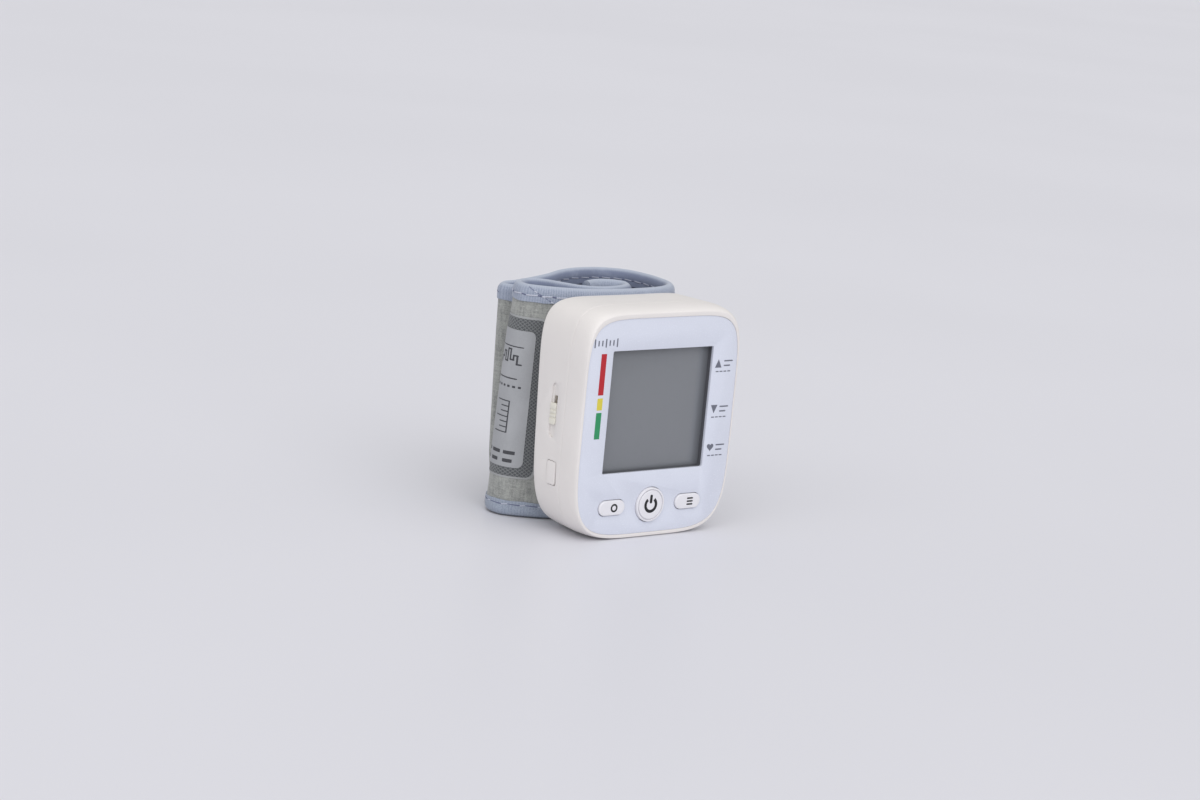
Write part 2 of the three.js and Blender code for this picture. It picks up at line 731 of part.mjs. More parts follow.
function switchRecess() {
  const middleZ = SWITCH_LOW + SWITCH_LENGTH / 2;
  const floorX = -sideAt(SWITCH_Y) + SWITCH_SINK;
  const outside = -BODY_WIDTH / 2 - OVERRUN;
  const recess = sideways(standingSlot(SWITCH_Y, middleZ, SWITCH_LENGTH, SWITCH_WIDTH), outside, floorX);
  const postLow = KNOB_LOW + KNOB_LENGTH / 2 - POST_LENGTH / 2;
  const slot = block(
    outside, -sideAt(SWITCH_Y) + WALL + OVERRUN,
    SWITCH_Y - POST_WIDTH / 2 - KNOB_CLEARANCE, SWITCH_Y + POST_WIDTH / 2 + KNOB_CLEARANCE,
    postLow - KNOB_CLEARANCE, KNOB_LOW + KNOB_LENGTH + SWITCH_TRAVEL,
  );
  return recess.add(slot);
}

function portRecess() {
  const outside = -BODY_WIDTH / 2 - OVERRUN;
  const floorX = -sideAt(PORT_Y) + PORT_SINK;
  const width = PORT_WIDTH + PORT_NAIL_GAP;
  const lid = sideways(
    roundedRectangle(PORT_Y - PORT_NAIL_GAP / 2, PORT_Z, width, PORT_LENGTH, PORT_CORNER), outside, floorX,
  );
  const mouth = sideways(
    roundedRectangle(PORT_Y, PORT_Z, SOCKET_WIDTH, SOCKET_LENGTH, PORT_CORNER),
    outside, floorX + WALL,
  );
  return lid.add(mouth);
}

function rearHousing() {
  const blank = rearBlank();
  const cavity = rearCavity();
  const lip = skinBand(LIP_INSET, SEAM_DEPTH - LIP_HEIGHT, SEAM_DEPTH + BOSS_GAP);
  let solid = blank.add(lip).subtract(cavity);
  solid = solid.add(bayWalls().intersect(blank));
  for (const [x, z] of screwPlaces()) {
    const back = backDepth(x, z);
    const post = rodBack(BOSS_RADIUS, x, z, SEAM_DEPTH + BOSS_GAP, back);
    const hole = rodBack(SCREW_SHANK_RADIUS + SCREW_CLEARANCE, x, z, 0, back + OVERRUN, 12);
    const sink = rodBack(
      SCREW_HEAD_RADIUS + SCREW_CLEARANCE, x, z, back - SCREW_HEAD_SINK, back + OVERRUN, 16,
    );
    solid = solid.add(post.intersect(blank)).subtract(hole).subtract(sink);
  }
  for (const z of [STUD_LOW_Z, STUD_HIGH_Z]) {
    const hole = rodBack(STUD_RADIUS + OUTLET_CLEARANCE, OUTLET_X, z, SEAM_DEPTH, BACK_REACH, 16);
    solid = solid.subtract(hole);
  }
  const outlet = rodBack(OUTLET_RADIUS + OUTLET_CLEARANCE, OUTLET_X, MANIFOLD_Z, SEAM_DEPTH, BACK_REACH, 16);
  solid = solid
    .subtract(outlet)
    .subtract(doorRegion(0))
    .subtract(switchRecess())
    .subtract(portRecess());
  return piece('rear_housing', solid, WHITE_PLASTIC());
}

function batteryDoor() {
  let solid = rearBlank().subtract(rearCavity()).intersect(doorRegion(DOOR_GAP));
  const middleY = BELT_DEPTH + DOOR_GRIP_WIDTH;
  const middleZ = (DOOR_LOW + DOOR_HIGH) / 2;
  const side = sideAt(BELT_DEPTH);
  for (let i = 0; i < DOOR_GRIP_COUNT; i++) {
    const z = middleZ + (i - (DOOR_GRIP_COUNT - 1) / 2) * DOOR_GRIP_PITCH;
    const groove = block(
      side - DOOR_GRIP_DEPTH, side + OVERRUN,
      middleY - DOOR_GRIP_LENGTH / 2, middleY + DOOR_GRIP_LENGTH / 2,
      z - DOOR_GRIP_WIDTH / 2, z + DOOR_GRIP_WIDTH / 2,
    );
    solid = solid.subtract(groove);
  }
  return piece('battery_door', solid, WHITE_PLASTIC());
}

function housingScrews() {
  return screwPlaces().map(([x, z], i) => {
    const head = backDepth(x, z) - SCREW_HEAD_SINK + PART_GAP;
    const crown = head + SCREW_HEAD_THICKNESS;
    const profile = [
      [0, SCREW_TIP_DEPTH],
      [SCREW_SHANK_RADIUS, SCREW_TIP_DEPTH + SCREW_SHANK_RADIUS],
      [SCREW_SHANK_RADIUS, head],
      [SCREW_HEAD_RADIUS, head],
      [SCREW_HEAD_RADIUS, crown - SCREW_DRIVE_DEPTH / 2],
      [SCREW_DRIVE_RADIUS, crown],
      [0, crown - SCREW_DRIVE_DEPTH],
    ];
    return piece(`housing_screw_${i + 1}`, turnedBack(profile, x, z, 12), BARE_METAL());
  });
}

// Face panel and display

function facePanel() {
  const solid = facing(faceOutline(0), FACE_SETBACK, FACE_SETBACK + FACE_THICKNESS)
    .subtract(facing(windowShape(0), -OVERRUN, SEAM_DEPTH))
    .subtract(buttonHoles(-OVERRUN, SEAM_DEPTH));
  return piece('face_panel', solid, PALE_BLUE_PANEL());
}

function glassBox() {
  return {
    left: WINDOW_X - WINDOW_WIDTH / 2 - GLASS_MARGIN,
    right: WINDOW_X + WINDOW_WIDTH / 2 + GLASS_MARGIN,
    low: WINDOW_Z - WINDOW_HEIGHT / 2 - GLASS_MARGIN,
    high: WINDOW_Z + WINDOW_HEIGHT / 2 + GLASS_MARGIN,
  };
}

function displayGlass() {
  const { left, right, low, high } = glassBox();
  const half = (GLASS_FRONT + GLASS_BACK) / 2;
  const front = block(left, right, GLASS_FRONT, half, low, high);
  const back = block(left, right, half, GLASS_BACK, low + GLASS_LEDGE, high);
  return piece('display_glass', front.add(back), GREY_GLASS());
}

// The frame holds the glass from behind and lines the window with a dark sleeve.
function displayFrame() {
  const { left, right, low, high } = glassBox();
  const rimFront = FRONT_WALL_BACK + PART_GAP;
  const rimBack = GLASS_FRONT - PART_GAP;
  const outer = block(
    left - LCD_FRAME_WALL, right + LCD_FRAME_WALL, rimFront, LCD_FRAME_DEPTH,
    low - LCD_FRAME_WALL, high + LCD_FRAME_WALL,
  );
  const pocket = block(
    left - GLASS_GAP, right + GLASS_GAP, rimBack, GLASS_BACK + GLASS_GAP, low - GLASS_GAP, high + GLASS_GAP,
  );
  const opening = block(
    left + LCD_FRAME_LIP, right - LCD_FRAME_LIP, GLASS_BACK, SEAM_DEPTH,
    low + LCD_FRAME_LIP, high - LCD_FRAME_LIP,
  );
  const sleeve = facing(windowShape(WINDOW_STEP - PART_GAP), FACE_BED_DEPTH, rimBack);
  const window = facing(windowShape(0), 0, GLASS_FRONT);
  const solid = outer.subtract(pocket).subtract(opening).add(sleeve).subtract(window);
  return piece('display_frame', solid, DARK_FRAME());
}

function displayContactStrip() {
  const { left, low } = glassBox();
  const bottom = low + GLASS_LEDGE + PART_GAP;
  const solid = block(
    left + CONTACT_STRIP_INSET, BOARD_RIGHT - CONTACT_STRIP_INSET,
    GLASS_BACK + PART_GAP, BOARD_FRONT - PART_GAP,
    bottom, bottom + CONTACT_STRIP_HEIGHT,
  );
  return piece('display_contact_strip', solid, BLACK_PART());
}

// Buttons

function powerButton() {
  const flange = POWER_RADIUS + BUTTON_FLANGE;
  const front = FACE_SETBACK - POWER_PROUD;
  const profile = [
    [0, front],
    [POWER_TOP_RADIUS - POWER_EDGE, front],
    [POWER_TOP_RADIUS, front + POWER_EDGE],
    [POWER_RADIUS, front + POWER_EDGE + POWER_SHOULDER],
    [POWER_RADIUS, BUTTON_FLANGE_FRONT],
    [flange, BUTTON_FLANGE_FRONT],
    [flange, BUTTON_BACK],
    [0, BUTTON_BACK],
  ];
  return piece('power_button', turnedBack(profile, WINDOW_X, BUTTON_Z, 32), BUTTON_WHITE());
}

function ovalButton(name, side) {
  const x = WINDOW_X + side * BUTTON_SPREAD;
  const middle = (BUTTON_FLANGE_FRONT + BUTTON_BACK) / 2;
  const front = FACE_SETBACK - OVAL_PROUD;
  const cap = facing(lyingSlot(x, BUTTON_Z, OVAL_LENGTH, OVAL_HEIGHT), front, middle, OVAL_EDGE);
  const flange = lyingSlot(x, BUTTON_Z, OVAL_LENGTH + 2 * BUTTON_FLANGE, OVAL_HEIGHT + 2 * BUTTON_FLANGE);
  return piece(name, cap.add(facing(flange, BUTTON_FLANGE_FRONT, BUTTON_BACK)), BUTTON_WHITE());
}

function pushSwitch(name, x) {
  const bodyFront = BOARD_FRONT - KEY_HEIGHT;
  const body = block(
    x - KEY_SIZE / 2, x + KEY_SIZE / 2, bodyFront, BOARD_FRONT,
    BUTTON_Z - KEY_SIZE / 2, BUTTON_Z + KEY_SIZE / 2,
  );
  const plunger = rodBack(KEY_PLUNGER, x, BUTTON_Z, PLUNGER_FRONT, bodyFront + KEY_HEIGHT / 2, 12);
  return piece(name, body.add(plunger), BLACK_PART());
}

// Circuit board

function mainBoard() {
  const shape = new THREE.Shape();
  shape.moveTo(-BOARD_FOOT, BOARD_BOTTOM);
  shape.lineTo(BOARD_FOOT, BOARD_BOTTOM);
  shape.lineTo(BOARD_FOOT, BOARD_NOTCH);
  shape.lineTo(BOARD_RIGHT, BOARD_NOTCH);
  shape.lineTo(BOARD_RIGHT, BOARD_TOP);
  shape.lineTo(BOARD_LEFT, BOARD_TOP);
  shape.lineTo(BOARD_LEFT, BOARD_NOTCH);
  shape.lineTo(-BOARD_FOOT, BOARD_NOTCH);
  return piece('main_board', facing(shape, BOARD_FRONT, BOARD_BACK), BOARD_GREEN());
}

function processorChip() {
  const back = BOARD_BACK + PART_GAP;
  const left = BOARD_LEFT + CHIP_INSET;
  const high = BOARD_TOP - CHIP_INSET;
  const solid = block(left, left + CHIP_SIZE, back, back + CHIP_THICKNESS, high - CHIP_SIZE, high);
  return piece('processor_chip', solid, BLACK_PART());
}

function buzzer() {
  const front = BOARD_BACK + PART_GAP;
  const back = front + BUZZER_HEIGHT;
  const profile = [
    [0, front],
    [BUZZER_RADIUS, front],
    [BUZZER_RADIUS, back],
    [BUZZER_HOLE, back],
    [BUZZER_HOLE, back - BUZZER_HEIGHT / 2],
    [0, back - BUZZER_HEIGHT / 2],
  ];
  return piece('buzzer', turnedBack(profile, BUZZER_X, BUTTON_Z - BUZZER_DROP, 20), BLACK_PART());
}

// Slide switch and power socket

function knobFloor() {
  return -sideAt(SWITCH_Y) + SWITCH_SINK;
}

function slideSwitchKnob() {
  const width = SWITCH_WIDTH - 2 * KNOB_CLEARANCE;
  const middle = KNOB_LOW + KNOB_LENGTH / 2;
  const outer = -sideAt(SWITCH_Y) - KNOB_PROUD;
  const floor = knobFloor() - PART_GAP;
  let solid = sideways(roundedRectangle(SWITCH_Y, middle, width, KNOB_LENGTH, KNOB_RIDGE), outer, floor);
  for (let i = 0; i < KNOB_GROOVE_COUNT; i++) {
    const z = middle + (i - (KNOB_GROOVE_COUNT - 1) / 2) * KNOB_GROOVE_PITCH;
    const groove = block(
      outer - OVERRUN, outer + KNOB_RIDGE, SWITCH_Y - width, SWITCH_Y + width,
      z - KNOB_RIDGE / 2, z + KNOB_RIDGE / 2,
    );
    solid = solid.subtract(groove);
  }
  const post = block(
    floor - PART_GAP, floor + POST_REACH,
    SWITCH_Y - POST_WIDTH / 2, SWITCH_Y + POST_WIDTH / 2,
    middle - POST_LENGTH / 2, middle + POST_LENGTH / 2,
  );
  return piece('slide_switch_knob', solid.add(post), BUTTON_WHITE());
}

function slideSwitchBody() {
  const left = -sideAt(SEAM_DEPTH) + WALL + REAR_SIDE_TAPER;
  const right = left + SWITCH_BODY_DEPTH;
  const middle = KNOB_LOW + (KNOB_LENGTH + SWITCH_TRAVEL) / 2;
  const body = block(
    left, right, SWITCH_Y - SWITCH_BODY_WIDTH / 2, SWITCH_Y + SWITCH_BODY_WIDTH / 2,
    middle - SWITCH_BODY_LENGTH / 2, middle + SWITCH_BODY_LENGTH / 2,
  );
  const tip = knobFloor() + POST_REACH;
  const track = block(
    left - OVERRUN, tip + KNOB_CLEARANCE,
    SWITCH_Y - POST_WIDTH / 2 - KNOB_CLEARANCE, SWITCH_Y + POST_WIDTH / 2 + KNOB_CLEARANCE,
    middle - (POST_LENGTH + SWITCH_TRAVEL) / 2 - KNOB_CLEARANCE,
    middle + (POST_LENGTH + SWITCH_TRAVEL) / 2 + KNOB_CLEARANCE,
  );
  return piece('slide_switch_body', body.subtract(track), BEIGE_PLASTIC());
}

function portCover() {
  const outer = -sideAt(PORT_Y);
  const width = PORT_WIDTH - 2 * KNOB_CLEARANCE;
  const length = PORT_LENGTH - 2 * KNOB_CLEARANCE;
  const shape = roundedRectangle(PORT_Y, PORT_Z, width, length, PORT_CORNER - KNOB_CLEARANCE);
  return piece('port_cover', sideways(shape, outer, outer + PORT_LID_THICKNESS), WHITE_PLASTIC());
}

function powerSocket() {
  const left = -sideAt(SEAM_DEPTH) + WALL + REAR_SIDE_TAPER + SOCKET_WALL_GAP;
  const width = SOCKET_WIDTH + 2 * SOCKET_SHELL;
  const length = SOCKET_LENGTH + 2 * SOCKET_SHELL;
  const outline = roundedRectangle(PORT_Y, PORT_Z, width, length, PORT_CORNER);
  const shell = sideways(outline, left, left + SOCKET_DEPTH);
  const mouth = sideways(
    roundedRectangle(PORT_Y, PORT_Z, SOCKET_WIDTH, SOCKET_LENGTH, PORT_CORNER),
    left - OVERRUN, left + SOCKET_DEPTH - SOCKET_SHELL,
  );
  const tongue = block(
    left + SOCKET_SHELL, left + SOCKET_DEPTH - SOCKET_SHELL / 2,
    PORT_Y - SOCKET_TONGUE / 2, PORT_Y + SOCKET_TONGUE / 2,
    PORT_Z - SOCKET_LENGTH / 2 + SOCKET_SHELL, PORT_Z + SOCKET_LENGTH / 2 - SOCKET_SHELL,
  );
  return piece('power_socket', shell.subtract(mouth).add(tongue), BARE_METAL());
}

// Battery bay

function cellProfile() {
  return [
    [0, 0],
    [CELL_RADIUS - CELL_EDGE, 0],
    [CELL_RADIUS, CELL_EDGE],
    [CELL_RADIUS, CELL_LENGTH - CELL_NUB - CELL_EDGE],
    [CELL_RADIUS - CELL_EDGE, CELL_LENGTH - CELL_NUB],
    [CELL_NUB_RADIUS, CELL_LENGTH - CELL_NUB],
    [CELL_NUB_RADIUS, CELL_LENGTH],
    [0, CELL_LENGTH],
  ];
}

function batteryCell(name, x, upright) {
  const cell = piece(name, turnedUp(cellProfile(), 0, 0, 24), CELL_JACKET());
  cell.position.set(x, CELL_Y, upright ? CELL_LOW : CELL_LOW + CELL_LENGTH);
  cell.rotation.x = upright ? 0 : Math.PI;
  return cell;
}

function bayFloor() {
  return DOOR_LOW - BAY_END_PLAY;
}

function bayRoof() {
  return DOOR_HIGH + BAY_END_PLAY;
}

function endContact(name, x) {
  const low = bayFloor() + CONTACT_GAP;
  const top = low + CONTACT_THICKNESS;
  const reach = CONTACT_WIDTH / 2;
  const plate = block(x - reach, x + reach, CELL_Y - reach, CELL_Y + reach, low, top);
  const cone = turnedUp(
    [[0, low], [CONTACT_CONE, low], [CONTACT_CONE / 2, CELL_LOW - CONTACT_GAP], [0, CELL_LOW - CONTACT_GAP]],
    x, CELL_Y, 12,
  );
  return piece(name, plate.add(cone), SPRING_STEEL());
}

function linkPlate() {
  const high = bayRoof() - CONTACT_GAP;
  const low = high - CONTACT_THICKNESS;
  const reach = CONTACT_WIDTH / 2;
  let solid = block(CELL_NEAR_X - reach, CELL_FAR_X + reach, CELL_Y - reach, CELL_Y + reach, low, high);
  for (const x of [CELL_NEAR_X, CELL_FAR_X]) {
    const bottom = CELL_LOW + CELL_LENGTH + CONTACT_GAP;
    const root = high - PART_GAP;
    const cone = [[0, bottom], [CONTACT_CONE / 2, bottom], [CONTACT_CONE, root], [0, root]];
    solid = solid.add(turnedUp(cone, x, CELL_Y, 12));
  }
  return piece('battery_link_plate', solid, SPRING_STEEL());
}

// Air system

function pumpMotor() {
  const low = PUMP_LOW + PUMP_HEAD_LENGTH + PART_GAP;
  const high = low + MOTOR_LENGTH;
  const profile = [
    [0, low],
    [MOTOR_RADIUS, low],
    [MOTOR_RADIUS, high - PUMP_GROOVE],
    [MOTOR_RADIUS - PUMP_GROOVE, high],
    [MOTOR_BEARING_RADIUS, high],
    [MOTOR_BEARING_RADIUS, high + MOTOR_BEARING],
    [0, high + MOTOR_BEARING],
  ];
  return piece('pump_motor', turnedUp(profile, PUMP_X, PUMP_Y), BARE_METAL());
}

function pumpHead() {
  const stage = PUMP_HEAD_LENGTH / PUMP_STAGES;
  const inner = PUMP_RADIUS - PUMP_GROOVE;
  const tip = PUMP_LOW - NOZZLE_LENGTH;
  const profile = [[0, tip], [NOZZLE_RADIUS, tip], [NOZZLE_RADIUS, PUMP_LOW]];
  for (let i = 0; i < PUMP_STAGES; i++) {
    const low = PUMP_LOW + i * stage;
    profile.push([inner, low], [PUMP_RADIUS, low + PUMP_GROOVE]);
    profile.push([PUMP_RADIUS, low + stage - PUMP_GROOVE], [inner, low + stage]);
  }
  const top = PUMP_LOW + PUMP_HEAD_LENGTH;
  const distinct = profile.filter(([r, z], i) => !i || r !== profile[i - 1][0] || z !== profile[i - 1][1]);
  distinct.push([0, top]);
  return piece('pump_head', turnedUp(distinct, PUMP_X, PUMP_Y), BLACK_PART());
}

function airManifold() {
  const nozzleTop = MANIFOLD_Z + TUBE_RADIUS + MANIFOLD_NOZZLE;
  const left = VALVE_X - MANIFOLD_LEFT_REACH;
  const solid = rodAcross(TUBE_RADIUS, PUMP_Y, MANIFOLD_Z, left, OUTLET_X + MANIFOLD_RIGHT_REACH)
    .add(rodAcross(NOZZLE_RADIUS, PUMP_Y, MANIFOLD_Z, left - MANIFOLD_NOZZLE / 2, OUTLET_X))
    .add(rodUp(NOZZLE_RADIUS, PUMP_X, PUMP_Y, MANIFOLD_Z, nozzleTop))
    .add(rodUp(NOZZLE_RADIUS, VALVE_X, PUMP_Y, MANIFOLD_Z, nozzleTop))
    .add(rodBack(NOZZLE_RADIUS, OUTLET_X, MANIFOLD_Z, PUMP_Y, PUMP_Y + OUTLET_NOZZLE));
  return piece('air_manifold', solid, CURLER_PLASTIC());
}

function straightTube(name, x, high) {
  const low = MANIFOLD_Z + TUBE_RADIUS + TUBE_GAP;
  const profile = [
    [TUBE_BORE, low], [TUBE_RADIUS, low], [TUBE_RADIUS, high], [TUBE_BORE, high], [TUBE_BORE, low],
  ];
  return piece(name, turnedUp(profile, x, PUMP_Y, 12), SILICONE());
}

function sensorTube() {
  const sensorY = BOARD_BACK + TUBE_RADIUS + TUBE_GAP;
  const start = VALVE_X - MANIFOLD_LEFT_REACH - TUBE_GAP;
  const drop = SENSOR_LOW - MANIFOLD_Z;
  const path = new THREE.CatmullRomCurve3([
    new THREE.Vector3(start, PUMP_Y, MANIFOLD_Z),
    new THREE.Vector3(start - TUBE_RADIUS, PUMP_Y, MANIFOLD_Z),
    new THREE.Vector3(SENSOR_X + TUBE_GAP, (PUMP_Y + sensorY) / 2, MANIFOLD_Z + drop / 4),
    new THREE.Vector3(SENSOR_X, sensorY, MANIFOLD_Z + drop / 2),
    new THREE.Vector3(SENSOR_X, sensorY, SENSOR_LOW - TUBE_GAP),
  ]);
  return piece('air_tube_sensor', tubeAlong(path, 10), SILICONE());
}

function airValve() {
  const high = VALVE_LOW + VALVE_LENGTH;
  const reach = VALVE_WIDTH / 2;
  const inner = reach - VALVE_COIL_STEP;
  const shell = block(VALVE_X - reach, VALVE_X + reach, PUMP_Y - reach, PUMP_Y + reach, VALVE_LOW, high);
  const window = block(
    VALVE_X - inner, VALVE_X + inner, PUMP_Y - reach - OVERRUN, PUMP_Y + reach + OVERRUN,
    VALVE_LOW + VALVE_YOKE, high - VALVE_YOKE,
  );
  const coilLow = VALVE_LOW + VALVE_COIL_STEP;
  const coil = rodUp(inner - VALVE_COIL_STEP, VALVE_X, PUMP_Y, coilLow, high - VALVE_COIL_STEP);
  const nozzle = rodUp(NOZZLE_RADIUS, VALVE_X, PUMP_Y, VALVE_LOW - NOZZLE_LENGTH, coilLow);
  return piece('air_valve', shell.subtract(window).add(coil).add(nozzle), BARE_METAL());
}

function pressureSensor() {
  const front = BOARD_BACK + PART_GAP;
  const body = block(
    SENSOR_X - SENSOR_WIDTH / 2, SENSOR_X + SENSOR_WIDTH / 2, front, front + SENSOR_HEIGHT,
    SENSOR_LOW, SENSOR_LOW + SENSOR_LENGTH,
  );
  const nozzle = rodUp(
    NOZZLE_RADIUS, SENSOR_X, BOARD_BACK + TUBE_RADIUS + TUBE_GAP,
    SENSOR_LOW - NOZZLE_LENGTH, SENSOR_LOW + SENSOR_NOZZLE_SINK,
  );
  return piece('pressure_sensor', body.add(nozzle), BLACK_PART());
}

function outletBush() {
  const flangeBack = backDepth(OUTLET_X, MANIFOLD_Z - OUTLET_FLANGE) - WALL - PART_GAP;
  const flangeFront = flangeBack - OUTLET_FLANGE_THICKNESS;
  const front = PUMP_Y + TUBE_RADIUS + TUBE_GAP;
  const back = rollFront(MANIFOLD_Z) - CUFF_THICKNESS / 2 + CUFF_FABRIC + CURLER_THICKNESS + CUFF_LAYER_GAP;
  const profile = [
    [TUBE_BORE, front],
    [OUTLET_RADIUS, front],
    [OUTLET_RADIUS, flangeFront],
    [OUTLET_FLANGE, flangeFront],
    [OUTLET_FLANGE, flangeBack],
    [OUTLET_RADIUS, flangeBack],
    [OUTLET_RADIUS, back],
    [TUBE_BORE, back],
    [TUBE_BORE, front],
  ];
  return piece('outlet_bush', turnedBack(profile, OUTLET_X, MANIFOLD_Z, 20), SILICONE());
}

// Rolled cuff

// The middle of the cuff's front layer, which follows the leaning back of the body
function rollFront(z) {
  return ROLL_FRONT - BACK_SLOPE * (CUFF_HEIGHT - z);
}

function rollCurve(leaning) {
  const points = ROLL_SHARES.map(([across, back, leanAcross = 0, leanBack = 0]) => {
    const follow = Math.max(0, 1 - back / ROLL_FOLLOW_SHARE);
    const lean = leaning * (ROLL_DEPTH * leanBack - follow * BACK_SLOPE * CUFF_HEIGHT);
    return new THREE.Vector3(
      ROLL_X + ROLL_WIDTH * (across + leaning * leanAcross), ROLL_FRONT + ROLL_DEPTH * back + lean, 0,
    );
  });
  return new THREE.CatmullRomCurve3(points, false, 'centripetal');
}

const ROLL_TOP = rollCurve(0);
const ROLL_BOTTOM = rollCurve(1);

// The station at a share of the roll's length: its upper and lower edge, and which way its outside looks
function rollStation(share) {
  const t = ROLL_TOP.getUtoTmapping(share);
  const along = ROLL_TOP.getTangent(t);
  const alongBelow = ROLL_BOTTOM.getTangent(t);
  const tail = THREE.MathUtils.smoothstep(share, TAIL_START_SHARE, 1);
  return {
    top: ROLL_TOP.getPoint(t).setZ(CUFF_HEIGHT - TAIL_TOP_DROP * tail),
    bottom: ROLL_BOTTOM.getPoint(t).setZ(TAIL_BOTTOM_RISE * tail),
    outTop: new THREE.Vector3(along.y, -along.x, 0),
    outBottom: new THREE.Vector3(alongBelow.y, -alongBelow.x, 0),
  };
}

// A strip of the cuff between two stations. Its section lists [offset outwards, share of the height,
// millimetres above that share].
function cuffStrip(section, first, last) {
  const rings = [];
  for (let station = first; station <= last; station++) {
    const { top, bottom, outTop, outBottom } = rollStation(station / CUFF_STEPS);
    rings.push(section.map(([offset, heightShare, lift = 0]) => {
      const rise = heightShare + lift / (top.z - bottom.z);
      const out = outBottom.clone().lerp(outTop, rise);
      return bottom.clone().lerp(top, rise).addScaledVector(out, offset);
    }));
  }
  const profile = section.map(([offset, share, lift = 0]) => (
    new THREE.Vector2(offset, share * CUFF_HEIGHT + lift)
  ));
  return loft(rings, profile);
}

function outerFabric() {
  const outer = CUFF_THICKNESS / 2;
  const inner = outer - CUFF_FABRIC;
  const inset = BINDING_TAPE + BINDING_GAP;
  return cuffStrip([
    [inner, 0, inset],
    [outer, 0, inset],
    [outer, 0, BINDING_HEIGHT + inset],
    [outer + CUFF_PUFF, 0.5],
    [outer, 1, -BINDING_HEIGHT - inset],
    [outer, 1, -inset],
    [inner, 1, -inset],
  ], 0, CUFF_STEPS);
}

function innerFabric() {
  const inner = -CUFF_THICKNESS / 2;
  const outer = inner + CUFF_FABRIC;
  const inset = BINDING_TAPE + BINDING_GAP;
  const section = [[inner, 0, inset], [outer, 0, inset], [outer, 1, -inset], [inner, 1, -inset]];
  return cuffStrip(section, 0, CUFF_STEPS);
}

function binding(edgeShare) {
  const reach = CUFF_THICKNESS / 2 + BINDING_GAP;
  const outer = reach + BINDING_TAPE;
  const inward = edgeShare ? -1 : 1;
  const section = [
    [-outer, edgeShare, inward * BINDING_HEIGHT],
    [-outer, edgeShare, 0],
    [outer, edgeShare, 0],
    [outer, edgeShare, inward * BINDING_HEIGHT],
    [reach, edgeShare, inward * BINDING_HEIGHT],
    [reach, edgeShare, inward * BINDING_TAPE],
    [-reach, edgeShare, inward * BINDING_TAPE],
    [-reach, edgeShare, inward * BINDING_HEIGHT],
  ];
  return cuffStrip(edgeShare ? section.reverse() : section, 0, CUFF_STEPS);
}

function curlerSheet() {
  const outer = CUFF_THICKNESS / 2 - CUFF_FABRIC - CUFF_LAYER_GAP;
  const inner = outer - CURLER_THICKNESS;
  let solid = cuffStrip(
    [[inner, 0, CORE_MARGIN], [outer, 0, CORE_MARGIN], [outer, 1, -CORE_MARGIN], [inner, 1, -CORE_MARGIN]],
    CURLER_START_STEPS, CURLER_END_STEPS,
  );
  for (const z of [STUD_LOW_Z, STUD_HIGH_Z]) {
    const head = backDepth(OUTLET_X, z - STUD_HEAD_RADIUS) - WALL - STUD_PLAY;
    const root = rollFront(z) - inner - CURLER_THICKNESS / 2;
    const profile = [
      [0, head - STUD_HEAD],
      [STUD_RADIUS, head - STUD_HEAD],
      [STUD_HEAD_RADIUS, head],
      [STUD_RADIUS, head],
      [STUD_RADIUS, root],
      [0, root],
    ];
    solid = solid.add(turnedBack(profile, OUTLET_X, z, 12));
  }
  return solid;
}

function airBladder() {
  const inner = -CUFF_THICKNESS / 2 + CUFF_FABRIC + CUFF_LAYER_GAP;
  const outer = CUFF_THICKNESS / 2 - CUFF_FABRIC - 2 * CUFF_LAYER_GAP - CURLER_THICKNESS;
  return cuffStrip(
    [[inner, 0, CORE_MARGIN], [outer, 0, CORE_MARGIN], [outer, 1, -CORE_MARGIN], [inner, 1, -CORE_MARGIN]],
    BLADDER_START_STEPS, BLADDER_END_STEPS,
  );
}

function bushHole() {
  const back = rollFront(MANIFOLD_Z) + CUFF_THICKNESS / 2 - CUFF_FABRIC;
  return rodBack(OUTLET_RADIUS + OUTLET_CLEARANCE, OUTLET_X, MANIFOLD_Z, SEAM_DEPTH, back, 16);
}

function studHole(z) {
  return rodBack(STUD_RADIUS + OUTLET_CLEARANCE, OUTLET_X, z, SEAM_DEPTH, rollFront(z), 16);
}

function patch(lowZ, highZ, first, last, lift, thickness) {
  const inner = CUFF_THICKNESS / 2 + CUFF_PUFF + lift;
  const outer = inner + thickness;
  return cuffStrip([[inner, 0, lowZ], [outer, 0, lowZ], [outer, 0, highZ], [inner, 0, highZ]], first, last);
}

function rolledCuff() {
  const outer = outerFabric()
    .subtract(bushHole())
    .subtract(studHole(STUD_LOW_Z))
    .subtract(studHole(STUD_HIGH_Z));
  const field = patch(
    MESH_FIELD_LOW, MESH_FIELD_HIGH, MESH_FIELD_START_STEPS, MESH_FIELD_END_STEPS,
    PATCH_GAP, MESH_FIELD_THICKNESS,
  );
  const label = patch(
    LABEL_LOW, LABEL_HIGH, LABEL_START_STEPS, LABEL_END_STEPS,
    2 * PATCH_GAP + MESH_FIELD_THICKNESS, LABEL_THICKNESS,
  );
  return groupOf(
    piece('cuff_outer_fabric', outer, GREY_LOOP_FABRIC()),
    piece('cuff_inner_fabric', innerFabric(), INNER_FABRIC()),
    piece('cuff_top_binding', binding(1), BLUE_BINDING()),
    piece('cuff_bottom_binding', binding(0), BLUE_BINDING()),
    piece('curler_sheet', curlerSheet().subtract(bushHole()), CURLER_PLASTIC()),
    piece('air_bladder', airBladder(), BLADDER_RUBBER()),
    piece('cuff_mesh_field', field, DARK_MESH()),
    piece('cuff_label', label, SATIN_LABEL()),
  );
}

// Assembly

